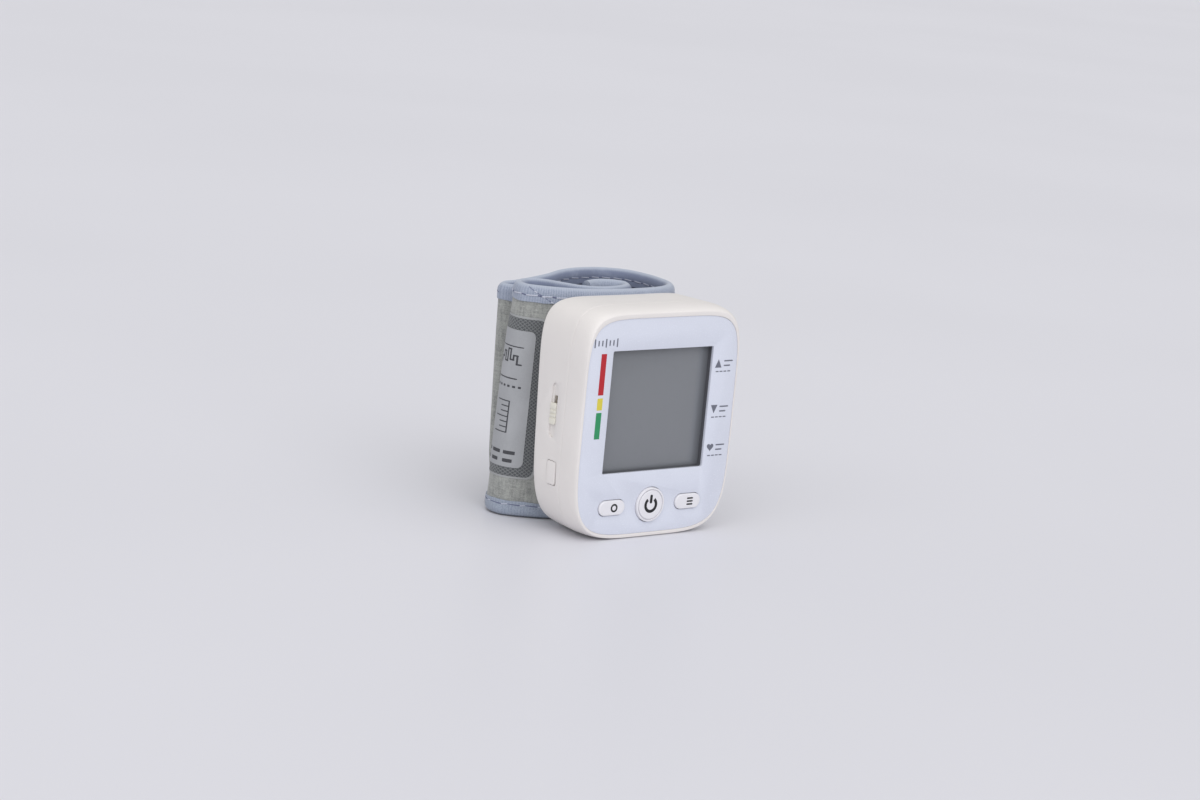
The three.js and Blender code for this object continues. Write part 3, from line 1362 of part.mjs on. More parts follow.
function wristMonitor() {
  const housing = groupOf(frontHousing(), rearHousing(), batteryDoor(), ...housingScrews(), facePanel());
  const display = groupOf(displayGlass(), displayFrame(), displayContactStrip());
  const controls = groupOf(
    powerButton(),
    ovalButton('left_button', -1),
    ovalButton('right_button', 1),
    pushSwitch('power_push_switch', WINDOW_X),
    pushSwitch('left_push_switch', WINDOW_X - BUTTON_SPREAD),
    pushSwitch('right_push_switch', WINDOW_X + BUTTON_SPREAD),
    slideSwitchKnob(),
    slideSwitchBody(),
    portCover(),
    powerSocket(),
  );
  const electronics = groupOf(mainBoard(), processorChip(), buzzer());
  const power = groupOf(
    batteryCell('battery_cell_near', CELL_NEAR_X, true),
    batteryCell('battery_cell_far', CELL_FAR_X, false),
    endContact('battery_contact_near', CELL_NEAR_X),
    endContact('battery_contact_far', CELL_FAR_X),
    linkPlate(),
  );
  const air = groupOf(
    pumpMotor(),
    pumpHead(),
    airManifold(),
    straightTube('air_tube_pump', PUMP_X, PUMP_LOW - TUBE_GAP),
    straightTube('air_tube_valve', VALVE_X, VALVE_LOW - TUBE_GAP),
    sensorTube(),
    airValve(),
    pressureSensor(),
    outletBush(),
  );
  const monitor = groupOf(housing, display, controls, electronics, power, air, rolledCuff());
  const middle = new THREE.Box3().setFromObject(monitor).getCenter(new THREE.Vector3());
  monitor.position.set(-middle.x, -middle.y, 0);
  return groupOf(monitor);
}

export default wristMonitor();
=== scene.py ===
"""Looks of a wrist blood pressure monitor that stands on its lower edge, its cuff rolled up behind it.

Everything is in metres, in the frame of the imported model: the face looks along -Y and +Z is up.
"""

from __future__ import annotations

import logging
import math
from dataclasses import dataclass, field
from enum import Enum
from typing import Callable, Iterable, Sequence, Union

import bmesh
import bpy
import numpy as np
from bpy.types import Material, NodeSocket, Object
from mathutils import Matrix, Vector

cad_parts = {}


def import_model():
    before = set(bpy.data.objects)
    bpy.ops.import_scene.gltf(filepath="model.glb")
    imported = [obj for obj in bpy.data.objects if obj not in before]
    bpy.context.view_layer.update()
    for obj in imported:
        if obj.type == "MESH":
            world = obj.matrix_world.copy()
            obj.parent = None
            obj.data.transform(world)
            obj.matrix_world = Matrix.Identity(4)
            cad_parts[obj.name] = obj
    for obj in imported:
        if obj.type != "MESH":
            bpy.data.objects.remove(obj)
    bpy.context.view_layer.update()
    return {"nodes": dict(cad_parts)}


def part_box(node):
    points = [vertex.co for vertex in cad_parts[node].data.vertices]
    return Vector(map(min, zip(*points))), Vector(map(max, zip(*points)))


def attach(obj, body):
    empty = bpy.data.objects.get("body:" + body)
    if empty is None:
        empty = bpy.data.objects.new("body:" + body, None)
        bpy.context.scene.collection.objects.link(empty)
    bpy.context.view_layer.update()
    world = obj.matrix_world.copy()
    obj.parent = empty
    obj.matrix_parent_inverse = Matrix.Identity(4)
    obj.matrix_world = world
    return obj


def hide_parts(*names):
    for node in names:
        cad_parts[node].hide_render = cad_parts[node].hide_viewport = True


log = logging.getLogger("wrist_monitor")

MM = 0.001
TAU = 2 * math.pi
HAIR = 1e-6
LEAST_EDGE = 35.0
SOLID_EDGE = 30.0
GLASS_MARGIN = 2 * MM
BUTTON_FLANGE = 0.8 * MM

Colour = tuple[float, float, float]
Place = tuple[float, float, float]
Pair = tuple[float, float]
Steps = tuple[Pair, ...]
Sizes = tuple[float, float, float]
Opening = tuple[float, float, float, float]
Section = list[tuple[np.ndarray, np.ndarray]]
Value = Union["Signal", float, Sequence[float]]


def srgb(red: int, green: int, blue: int) -> Colour:
    """A screen colour as the linear colour that a shader takes.

    Args:
        red: Red, 0 to 255.
        green: Green, 0 to 255.
        blue: Blue, 0 to 255.

    Returns:
        The linear red, green and blue.
    """
    def linear(level: int) -> float:
        """One level in linear light."""
        share = level / 255
        return share / 12.92 if share <= 0.04045 else ((share + 0.055) / 1.055) ** 2.4

    return linear(red), linear(green), linear(blue)


def tinted(colour: Colour, factor: float, lift: float = 0.0) -> Colour:
    """A colour with its levels multiplied by a factor and then lifted, none of them over 1."""
    return tuple(min(1.0, level * factor + lift) for level in colour)


class Cut(Enum):
    """How one solid works on another."""

    AWAY = "DIFFERENCE"
    SHARED = "INTERSECT"
    JOINED = "UNION"


class Draw(Enum):
    """The plane an outline is drawn in, named by the way it is drawn out."""

    BACKWARDS = "XZ, drawn out along Y"
    SIDEWAYS = "YZ, drawn out along X"


class Mark(Enum):
    """The plain marks that are printed on the face and the buttons."""

    UP = "triangle that points up"
    DOWN = "triangle that points down"
    HEART = "heart"
    POWER = "broken ring with a bar"
    RING = "ring"
    LIST = "three bars"


# Shaders


class Signal:
    """A socket in a material that Python's own operators work on."""

    def __init__(self, sheet: Sheet, socket: NodeSocket) -> None:
        """Wraps a socket of one sheet."""
        self.sheet = sheet
        self.socket = socket

    def _math(self, operation: str, first: Value, second: Value) -> Signal:
        """One Math node on two values."""
        return self.sheet.node("ShaderNodeMath", {"operation": operation}, {0: first, 1: second})

    def __add__(self, other: Value) -> Signal:
        """This and another value, added."""
        return self._math("ADD", self, other)

    def __radd__(self, other: Value) -> Signal:
        """Another value and this one, added."""
        return self._math("ADD", other, self)

    def __sub__(self, other: Value) -> Signal:
        """This less another value."""
        return self._math("SUBTRACT", self, other)

    def __rsub__(self, other: Value) -> Signal:
        """Another value less this one."""
        return self._math("SUBTRACT", other, self)

    def __mul__(self, other: Value) -> Signal:
        """This times another value."""
        return self._math("MULTIPLY", self, other)

    def __rmul__(self, other: Value) -> Signal:
        """Another value times this one."""
        return self._math("MULTIPLY", other, self)

    def sine(self) -> Signal:
        """The sine of this."""
        return self._math("SINE", self, 0.0)

    def size(self) -> Signal:
        """This without its sign."""
        return self._math("ABSOLUTE", self, 0.0)

    def least(self, other: Value) -> Signal:
        """The smaller of this and another value."""
        return self._math("MINIMUM", self, other)

    def ramp(self, start: float, end: float) -> Signal:
        """This, eased from 0 at start to 1 at end."""
        settings = {"interpolation_type": "SMOOTHSTEP"}
        return self.sheet.node("ShaderNodeMapRange", settings, {0: self, 1: start, 2: end, 3: 0.0, 4: 1.0})


class Sheet:
    """The node tree of one material."""

    def __init__(self, name: str) -> None:
        """Starts an empty material.

        Args:
            name: Its name.
        """
        self.material = bpy.data.materials.new(name)
        self.material.use_nodes = True
        self.tree = self.material.node_tree
        self.tree.nodes.clear()

    def node(self, kind: str, settings: dict, inputs: dict, output: int | str = 0) -> Signal:
        """Adds one node.

        Args:
            kind: The node's type.
            settings: Its own settings, which are set first.
            inputs: The values or links of its sockets.
            output: Which output the signal reads.

        Returns:
            The output, as a signal.
        """
        made = self.tree.nodes.new(kind)
        for key, value in settings.items():
            setattr(made, key, value)
        for key, value in inputs.items():
            if isinstance(value, Signal):
                self.tree.links.new(value.socket, made.inputs[key])
            else:
                made.inputs[key].default_value = value
        return Signal(self, made.outputs[output])

    def place(self) -> Signal:
        """Where a point lies on the object, in metres."""
        return self.node("ShaderNodeTexCoord", {}, {}, "Object")

    def along(self, axis: str) -> Signal:
        """One coordinate of that place, by its letter."""
        return self.node("ShaderNodeSeparateXYZ", {}, {0: self.place()}, axis)

    def carried(self, name: str) -> Signal:
        """A number that the mesh carries on its points."""
        return self.node("ShaderNodeAttribute", {"attribute_name": name}, {}, "Fac")

    def noise(self, scale: float, detail: float = 2.0, stretch: Place = (1.0, 1.0, 1.0)) -> Signal:
        """Noise about 0.5, in features per metre, with each axis drawn closer by the stretch."""
        scaled = self.node("ShaderNodeVectorMath", {"operation": "MULTIPLY"}, {0: self.place(), 1: stretch})
        return self.node("ShaderNodeTexNoise", {}, {"Vector": scaled, "Scale": scale, "Detail": detail})

    def blend(self, share: Value, first: Value, second: Value) -> Signal:
        """A mix of two colours, all of the second where the share is 1."""
        full = [(*c, 1.0) if isinstance(c, tuple) and len(c) == 3 else c for c in (first, second)]
        return self.node("ShaderNodeMix", {"data_type": "RGBA"}, {0: share, 6: full[0], 7: full[1]}, 2)

    def bump(self, height: Signal, distance: float, strength: float = 1.0) -> Signal:
        """A normal from a height, 0 to 1, that stands for a distance in metres."""
        return self.node("ShaderNodeBump", {}, {"Strength": strength, "Distance": distance, "Height": height})

    def surface(self, **inputs: Value) -> Material:
        """Ends the material with one Principled surface.

        Args:
            **inputs: The surface's sockets, with _ for a space.

        Returns:
            The material.
        """
        named = {key.replace("_", " "): value for key, value in inputs.items()}
        shader = self.node("ShaderNodeBsdfPrincipled", {}, named)
        end = self.tree.nodes.new("ShaderNodeOutputMaterial")
        self.tree.links.new(shader.socket, end.inputs["Surface"])
        return self.material


@dataclass(frozen=True)
class Finish:
    """What every finish has: its material's name and its main colour."""

    name: str
    colour: Colour


@dataclass(frozen=True)
class MouldedPlastic(Finish):
    """Injection-moulded plastic with a fine satin grain."""

    roughness: float = 0.38
    grain: float = 0.012
    unevenness: float = 0.03

    def make(self) -> Material:
        """A faint cloud in the colour, and a grain that breaks up the gloss.

        Returns:
            The material.
        """
        sheet = Sheet(self.name)
        cloud = sheet.noise(70.0, 3.0)
        fine = sheet.noise(5200.0, 2.0)
        shade = tinted(self.colour, 1 - self.unevenness)
        return sheet.surface(
            Base_Color=sheet.blend(cloud.ramp(0.3, 0.75), self.colour, shade),
            Roughness=self.roughness + (cloud - 0.5) * 0.1,
            Normal=sheet.bump(fine, self.grain * MM, 0.5),
        )


@dataclass(frozen=True)
class GlossyPanel(Finish):
    """A smooth panel, coloured from behind, under a clear gloss."""

    def make(self) -> Material:
        """An even colour with a very slight ripple in its gloss.

        Returns:
            The material.
        """
        sheet = Sheet(self.name)
        ripple = sheet.noise(160.0, 2.0)
        speck = sheet.noise(2600.0, 3.0)
        shade = tinted(self.colour, 0.985)
        return sheet.surface(
            Base_Color=sheet.blend(ripple.ramp(0.35, 0.7), self.colour, shade),
            Roughness=0.2 + speck * 0.12,
            Normal=sheet.bump(ripple, 0.02 * MM, 0.25),
            Coat_Weight=0.35,
        )


@dataclass(frozen=True)
class DisplayFace(Finish):
    """Grey display glass, with painted shade close to the edges of its window."""

    # The colour of the painted shade at the window's edges.
    edge: Colour
    middle_x: float
    middle_z: float
    half_width: float
    half_height: float

    def make(self) -> Material:
        """The grey, with painted shade that is wide at the window's right and narrow round the rest.

        Returns:
            The material.
        """
        sheet = Sheet(self.name)
        right = (self.middle_x + self.half_width) - sheet.along("X")
        left = sheet.along("X") - (self.middle_x - self.half_width)
        top = (self.middle_z + self.half_height) - sheet.along("Z")
        low = sheet.along("Z") - (self.middle_z - self.half_height)
        # Painted shade: the glass darkens in a wide band at the window's right and a narrow band round the
        # other edges.
        painted_shade_right = 1 - right.ramp(-0.2 * MM, 3.2 * MM)
        painted_shade_rest = 1 - left.least(top).least(low).ramp(-0.1 * MM, 0.7 * MM)
        mottle = sheet.noise(420.0, 2.0)
        shaded = sheet.blend(painted_shade_right * 0.32 + painted_shade_rest * 0.4, self.colour, self.edge)
        return sheet.surface(
            Base_Color=sheet.blend((mottle - 0.5).ramp(0.0, 0.5) * 0.06, shaded, self.edge),
            Roughness=0.16 + mottle * 0.05,
            Coat_Weight=0.4,
        )


@dataclass(frozen=True)
class PrintedInk(Finish):
    """Screen-printed ink."""

    def make(self) -> Material:
        """A flat ink with the fine mottle of a print.

        Returns:
            The material.
        """
        sheet = Sheet(self.name)
        mottle = sheet.noise(3000.0, 2.0)
        pale = tinted(self.colour, 1.12, 0.008)
        return sheet.surface(
            Base_Color=sheet.blend(mottle.ramp(0.35, 0.8) * 0.4, self.colour, pale),
            Roughness=0.5 + mottle * 0.12,
        )


@dataclass(frozen=True)
class LoopFabric(Finish):
    """Brushed loop fabric, whose pile runs upright."""

    shade: Colour
    pile: float = 0.12

    def make(self) -> Material:
        """Upright streaks of pile over a fine knit, with soft worn patches.

        Returns:
            The material.
        """
        sheet = Sheet(self.name)
        streak = sheet.noise(1300.0, 3.0, (1.0, 1.0, 0.22))
        course = sheet.noise(1100.0, 2.0, (0.3, 0.3, 1.6))
        knit = sheet.noise(3200.0, 2.0)
        patch = sheet.noise(130.0, 3.0, (1.0, 1.0, 0.5))
        depth = streak.ramp(0.3, 0.72) * 0.35 + course.ramp(0.3, 0.7) * 0.25 + knit.ramp(0.3, 0.7) * 0.4
        colour = sheet.blend(depth, self.shade, self.colour)
        worn = tinted(self.colour, 1.16)
        return sheet.surface(
            Base_Color=sheet.blend(patch.ramp(0.5, 0.8) * 0.35, colour, worn),
            Roughness=0.88 + knit * 0.1,
            Normal=sheet.bump(depth, self.pile * MM, 0.75),
            Sheen_Weight=0.35,
            Sheen_Roughness=0.5,
        )


@dataclass(frozen=True)
class RibbedTape(Finish):
    """Woven binding tape with fine ribs across its run, a painted band along its fold and painted shade on
    its inner face.
    """

    shade: Colour
    # Colour of the painted band along the fold: pale for a painted highlight, dark for a painted contact
    # shadow.
    fold: Colour
    # Colour of the painted shade on the tape's inner face.
    inside: Colour
    rib: float = 0.72 * MM
    rib_share: float = 0.2
    painted_band_reach: float = 1.1 * MM
    painted_band_share: float = 0.6

    def make(self) -> Material:
        """Ribs that follow the tape, a fuzz of loose fibre, a painted band on the fold and painted shade on
        the inner face.

        Returns:
            The material.
        """
        sheet = Sheet(self.name)
        ribs = (sheet.carried("run") * (TAU / self.rib)).sine() * 0.5 + 0.5
        fuzz = sheet.noise(2600.0, 3.0)
        cloud = sheet.noise(220.0, 3.0)
        height = ribs * self.rib_share + fuzz * (1 - self.rib_share)
        colour = sheet.blend(height.ramp(0.25, 0.7), self.shade, self.colour)
        deep = sheet.carried("drop")
        # Painted band along the fold, in the fold colour: a highlight on the upper tape, a contact shadow on
        # the lower.
        colour = sheet.blend((1 - deep.ramp(0.1 * MM, self.painted_band_reach)) * self.painted_band_share, colour, self.fold)
        # Painted shade on the inner face, away from the fold.
        shaded = sheet.carried("inside") * deep.ramp(0.1 * MM, 1.2 * MM) * 0.85
        colour = sheet.blend(shaded, colour, self.inside)
        pale = tinted(self.colour, 1.2, 0.02)
        return sheet.surface(
            Base_Color=sheet.blend(cloud.ramp(0.5, 0.8) * 0.25, colour, pale),
            Roughness=0.78 + fuzz * 0.15,
            Normal=sheet.bump(height, 0.05 * MM, 0.6),
            Sheen_Weight=0.2,
        )


@dataclass(frozen=True)
class OpenMesh(Finish):
    """Knitted mesh: slanting threads that cross over a dark backing."""

    hole: Colour
    pitch: float = 2.2 * MM
    hole_share: float = 0.85

    def make(self) -> Material:
        """Two sets of slanting threads with small openings between them.

        Returns:
            The material.
        """
        sheet = Sheet(self.name)
        run, up = sheet.carried("run") * (TAU / self.pitch), sheet.along("Z") * (TAU / self.pitch)
        rising, falling = (run + up).sine().size(), (run - up).sine().size()
        knit = sheet.noise(3000.0, 2.0)
        open_share = rising.least(falling).ramp(0.2, 0.65)
        colour = sheet.blend(knit.ramp(0.3, 0.7) * 0.35, self.colour, self.hole)
        return sheet.surface(
            Base_Color=sheet.blend(open_share * self.hole_share, colour, self.hole),
            Roughness=0.85 + knit * 0.1,
            Normal=sheet.bump(1 - open_share, 0.12 * MM, 0.8),
            Sheen_Weight=0.2,
        )


@dataclass(frozen=True)
class SatinRibbon(Finish):
    """A woven satin label."""

    thread: float = 0.32 * MM

    def make(self) -> Material:
        """Fine threads across, a soft shine that comes and goes in the roughness, and a paler cloud in the
        colour that is a painted sheen.

        Returns:
            The material.
        """
        sheet = Sheet(self.name)
        threads = (sheet.along("Z") * (TAU / self.thread)).sine() * 0.5 + 0.5
        cloud = sheet.noise(150.0, 3.0, (1.0, 1.0, 0.6))
        fuzz = sheet.noise(2400.0, 2.0)
        shade = tinted(self.colour, 0.8)
        colour = sheet.blend(threads * 0.35 + fuzz.ramp(0.35, 0.7) * 0.25, self.colour, shade)
        pale = tinted(self.colour, 1.15)
        return sheet.surface(
            # The paler cloud in the colour is a painted sheen.
            Base_Color=sheet.blend(cloud.ramp(0.45, 0.75) * 0.5, colour, pale),
            Roughness=0.45 + cloud * 0.2,
            Normal=sheet.bump(threads * 0.5 + cloud * 0.5, 0.05 * MM, 0.6),
        )


@dataclass(frozen=True)
class SpunThread(Finish):
    """Sewing thread, with painted shade where it is drawn into the tape."""

    # The colour of the painted shade where the thread is drawn in.
    drawn_in: Colour

    def make(self) -> Material:
        """A little fuzz, and painted shade at the places where the thread dips in.

        Returns:
            The material.
        """
        sheet = Sheet(self.name)
        fuzz = sheet.noise(4200.0, 3.0, (1.0, 1.0, 2.0))
        shade = tinted(self.colour, 0.8)
        lit = sheet.blend(fuzz.ramp(0.35, 0.7), shade, self.colour)
        return sheet.surface(
            # The carried share paints shade: full where the thread dips into the tape, a little on the inside
            # rows.
            Base_Color=sheet.blend(sheet.carried("drawn_in"), lit, self.drawn_in),
            Roughness=0.7 + fuzz * 0.2,
            Normal=sheet.bump(fuzz, 0.04 * MM, 0.5),
        )


@dataclass(frozen=True)
class WorkedMetal(Finish):
    """Plated or drawn metal."""

    roughness: float = 0.3

    def make(self) -> Material:
        """Drawn lines in the gloss.

        Returns:
            The material.
        """
        sheet = Sheet(self.name)
        lines = sheet.noise(900.0, 3.0, (6.0, 6.0, 0.4))
        shade = tinted(self.colour, 0.88)
        return sheet.surface(
            Base_Color=sheet.blend(lines.ramp(0.3, 0.7), shade, self.colour),
            Roughness=self.roughness + lines * 0.15,
            Metallic=0.95,
            Normal=sheet.bump(lines, 0.01 * MM, 0.4),
        )


@dataclass(frozen=True)
class SoftRubber(Finish):
    """Silicone or rubber."""

    roughness: float = 0.6

    def make(self) -> Material:
        """A dusty, slightly uneven skin.

        Returns:
            The material.
        """
        sheet = Sheet(self.name)
        dust = sheet.noise(700.0, 4.0)
        pale = tinted(self.colour, 1.1, 0.015)
        return sheet.surface(
            Base_Color=sheet.blend(dust.ramp(0.4, 0.75) * 0.5, self.colour, pale),
            Roughness=self.roughness + (dust - 0.5) * 0.2,
            Normal=sheet.bump(dust, 0.02 * MM, 0.4),
        )


@dataclass(frozen=True)
class SolderMask(Finish):
    """A circuit board's green mask, with its copper runs showing through."""

    copper: Colour

    def make(self) -> Material:
        """Runs of copper under the mask.

        Returns:
            The material.
        """
        sheet = Sheet(self.name)
        sockets = {"Vector": sheet.place(), "Scale": 420.0}
        cells = sheet.node("ShaderNodeTexVoronoi", {"distance": "CHEBYCHEV"}, sockets, "Distance")
        runs = 1 - (cells - 0.35).size().ramp(0.02, 0.06)
        return sheet.surface(
            Base_Color=sheet.blend(runs * 0.6, self.colour, self.copper),
            Roughness=0.35 + runs * 0.1,
            Normal=sheet.bump(runs, 0.03 * MM, 0.5),
        )


# Mesh making


def dressed(piece: Object, material: Material) -> Object:
    """Gives a piece one material.

    Args:
        piece: The piece.
        material: Its material.

    Returns:
        The piece.
    """
    piece.data.materials.clear()
    piece.data.materials.append(material)
    return piece


def add_piece(name: str, points: np.ndarray, faces: Iterable[Sequence[int]]) -> Object:
    """Makes an object from points and faces, with doubled points merged and the faces turned out.

    Args:
        name: The object's name.
        points: Its points, one per row.
        faces: Its faces, as rows of point numbers.

    Returns:
        The object.
    """
    mesh = bpy.data.meshes.new(name)
    mesh.from_pydata(np.asarray(points, float).tolist(), [], [tuple(face) for face in faces])
    work = bmesh.new()
    work.from_mesh(mesh)
    bmesh.ops.remove_doubles(work, verts=work.verts, dist=1e-8)
    bmesh.ops.recalc_face_normals(work, faces=work.faces)
    work.to_mesh(mesh)
    work.free()
    piece = bpy.data.objects.new(name, mesh)
    bpy.context.scene.collection.objects.link(piece)
    return piece


def band_faces(rings: int, count: int) -> list[Sequence[int]]:
    """The quads between closed rings of points.

    Args:
        rings: How many rings.
        count: Points in each.

    Returns:
        The quads.
    """
    quads = []
    for ring in range(rings - 1):
        for i in range(count):
            j = (i + 1) % count
            quads.append((ring * count + i, ring * count + j, (ring + 1) * count + j, (ring + 1) * count + i))
    return quads


def cap_faces(rings: int, count: int) -> list[Sequence[int]]:
    """The two faces that close a row of rings at its ends, with so many points in each ring."""
    last = (rings - 1) * count
    return [range(count - 1, -1, -1), range(last, last + count)]


def lofted(name: str, rings: Sequence[np.ndarray], capped: bool = True) -> Object:
    """A skin over rings of points.

    Args:
        name: The object's name.
        rings: The rings, all of one count.
        capped: Whether flat caps close the two ends.

    Returns:
        The object.
    """
    faces = band_faces(len(rings), len(rings[0]))
    if capped:
        faces += cap_faces(len(rings), len(rings[0]))
    return add_piece(name, np.vstack(rings), faces)


def ring_at(outline: np.ndarray, level: float, way: Draw = Draw.BACKWARDS) -> np.ndarray:
    """The points of a flat outline, stood up at one level of the way that it is drawn out."""
    flat, first, second = np.full(len(outline), level), outline[:, 0], outline[:, 1]
    return np.column_stack([first, flat, second] if way is Draw.BACKWARDS else [flat, first, second])


def drawn_out(name: str, outline: np.ndarray, low: float, high: float, way: Draw = Draw.BACKWARDS) -> Object:
    """A flat outline, drawn out from a low to a high level into a solid."""
    return lofted(name, [ring_at(outline, low, way), ring_at(outline, high, way)])


def turned(name: str, profile: Sequence[Pair], x: float, z: float, sides: int) -> Object:
    """A profile of (radius, y) turned about a line along Y.

    Args:
        name: The object's name.
        profile: The profile, from the line and back to it.
        x: Where the line is.
        z: Where the line is.
        sides: Steps in a turn.

    Returns:
        The object.
    """
    turns = np.arange(sides) * TAU / sides
    rings = [
        np.column_stack([x + r * np.cos(turns), np.full(sides, y), z + r * np.sin(turns)]) for r, y in profile
    ]
    return lofted(name, rings, capped=False)


def arc(x: float, z: float, radius: float, start: float, end: float, steps: int = 10) -> list[Pair]:
    """Points of an arc about a middle, from one number of quarter turns to another."""
    turns = np.linspace(start, end, steps + 1) * math.pi / 2
    return [(x + radius * math.cos(t), z + radius * math.sin(t)) for t in turns]


def rounded_box(x: float, z: float, width: float, height: float, radius: float) -> np.ndarray:
    """A rectangle with round corners.

    Args:
        x: Its middle.
        z: Its middle.
        width: Its width.
        height: Its height.
        radius: The corners' radius.

    Returns:
        The outline.
    """
    right, left = x + width / 2 - radius, x - width / 2 + radius
    top, low = z + height / 2 - radius, z - height / 2 + radius
    corners = [(right, low, -1), (right, top, 0), (left, top, 1), (left, low, 2)]
    return np.array([p for cx, cz, q in corners for p in arc(cx, cz, radius, q, q + 1)])


def cuboid(name: str, low: Place, high: Place) -> Object:
    """A cutter between its lowest and its highest corner."""
    outline = np.array([(low[0], low[2]), (high[0], low[2]), (high[0], high[2]), (low[0], high[2])])
    return drawn_out(name, outline, low[1], high[1])


def bake_modifiers(piece: Object) -> None:
    """Applies a piece's modifiers to its mesh.

    Args:
        piece: The piece.
    """
    graph = bpy.context.evaluated_depsgraph_get()
    graph.update()
    done = bpy.data.meshes.new_from_object(piece.evaluated_get(graph))
    old = piece.data
    piece.modifiers.clear()
    piece.data = done
    done.name = piece.name
    bpy.data.meshes.remove(old)


def worked(piece: Object, tools: Sequence[Object], cut: Cut) -> Object:
    """Cuts a piece with tools, or joins them to it, and takes the tools away.

    Args:
        piece: The piece.
        tools: The solids that work on it.
        cut: What they do.

    Returns:
        The piece.
    """
    for tool in tools:
        step = piece.modifiers.new(tool.name, "BOOLEAN")
        step.operation = cut.value
        step.solver = "EXACT"
        step.object = tool
    bake_modifiers(piece)
    for tool in tools:
        bpy.data.objects.remove(tool)
    return piece


def eased(piece: Object, width: float, segments: int = 2) -> Object:
    """Rounds the sharp edges of a piece.

    Args:
        piece: The piece.
        width: How wide the rounding is.
        segments: Steps in the rounding.

    Returns:
        The piece.
    """
    step = piece.modifiers.new("eased", "BEVEL")
    step.width = width
    step.segments = segments
    step.limit_method = "ANGLE"
    step.angle_limit = math.radians(LEAST_EDGE)
    step.use_clamp_overlap = True
    step.harden_normals = False
    bake_modifiers(piece)
    return piece


def smoothed(piece: Object, angle: float = 32.0) -> Object:
    """Shades a piece smooth, apart from its sharp edges.

    Args:
        piece: The piece.
        angle: How sharp an edge stays, in degrees.

    Returns:
        The piece.
    """
    piece.data.shade_smooth()
    piece.data.set_sharp_from_angle(angle=math.radians(angle))
    return piece


def put(piece: Object, material: Material, body: str, replaced: Sequence[str] = ()) -> Object:
    """Dresses a piece, lets it ride on a body, hides the nodes it stands for, and reports it.

    Args:
        piece: The piece.
        material: Its material.
        body: The body that carries it.
        replaced: The nodes that it stands for.

    Returns:
        The piece.
    """
    dressed(piece, material)
    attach(piece, body)
    if replaced:
        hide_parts(*replaced)
    log.info("%s rides on %s, %d faces", piece.name, body, len(piece.data.polygons))
    return piece


def carry(piece: Object, name: str, values: np.ndarray) -> Object:
    """Stores a number for each point on a mesh whose points were not merged.

    Args:
        piece: The piece.
        name: What its material calls the number.
        values: The numbers, one per point.

    Returns:
        The piece.
    """
    numbers = piece.data.attributes.new(name, "FLOAT", "POINT")
    numbers.data.foreach_set("value", np.asarray(values, np.float32))
    return piece


def signed_power(values: np.ndarray | float, power: float) -> np.ndarray | float:
    """Values to a power, with their signs kept."""
    return np.sign(values) * np.abs(values) ** power


def middle_of(node: str) -> Place:
    """The middle of a node's box."""
    low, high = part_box(node)
    return (low.x + high.x) / 2, (low.y + high.y) / 2, (low.z + high.z) / 2


def opening_of(node: str, margin: float) -> Opening:
    """What shows of a node within a hidden margin all round.

    Args:
        node: The node.
        margin: How wide the margin is.

    Returns:
        Its middle x and z, width and height.
    """
    low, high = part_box(node)
    x, _, z = middle_of(node)
    return x, z, high.x - low.x - 2 * margin, high.z - low.z - 2 * margin


# Body


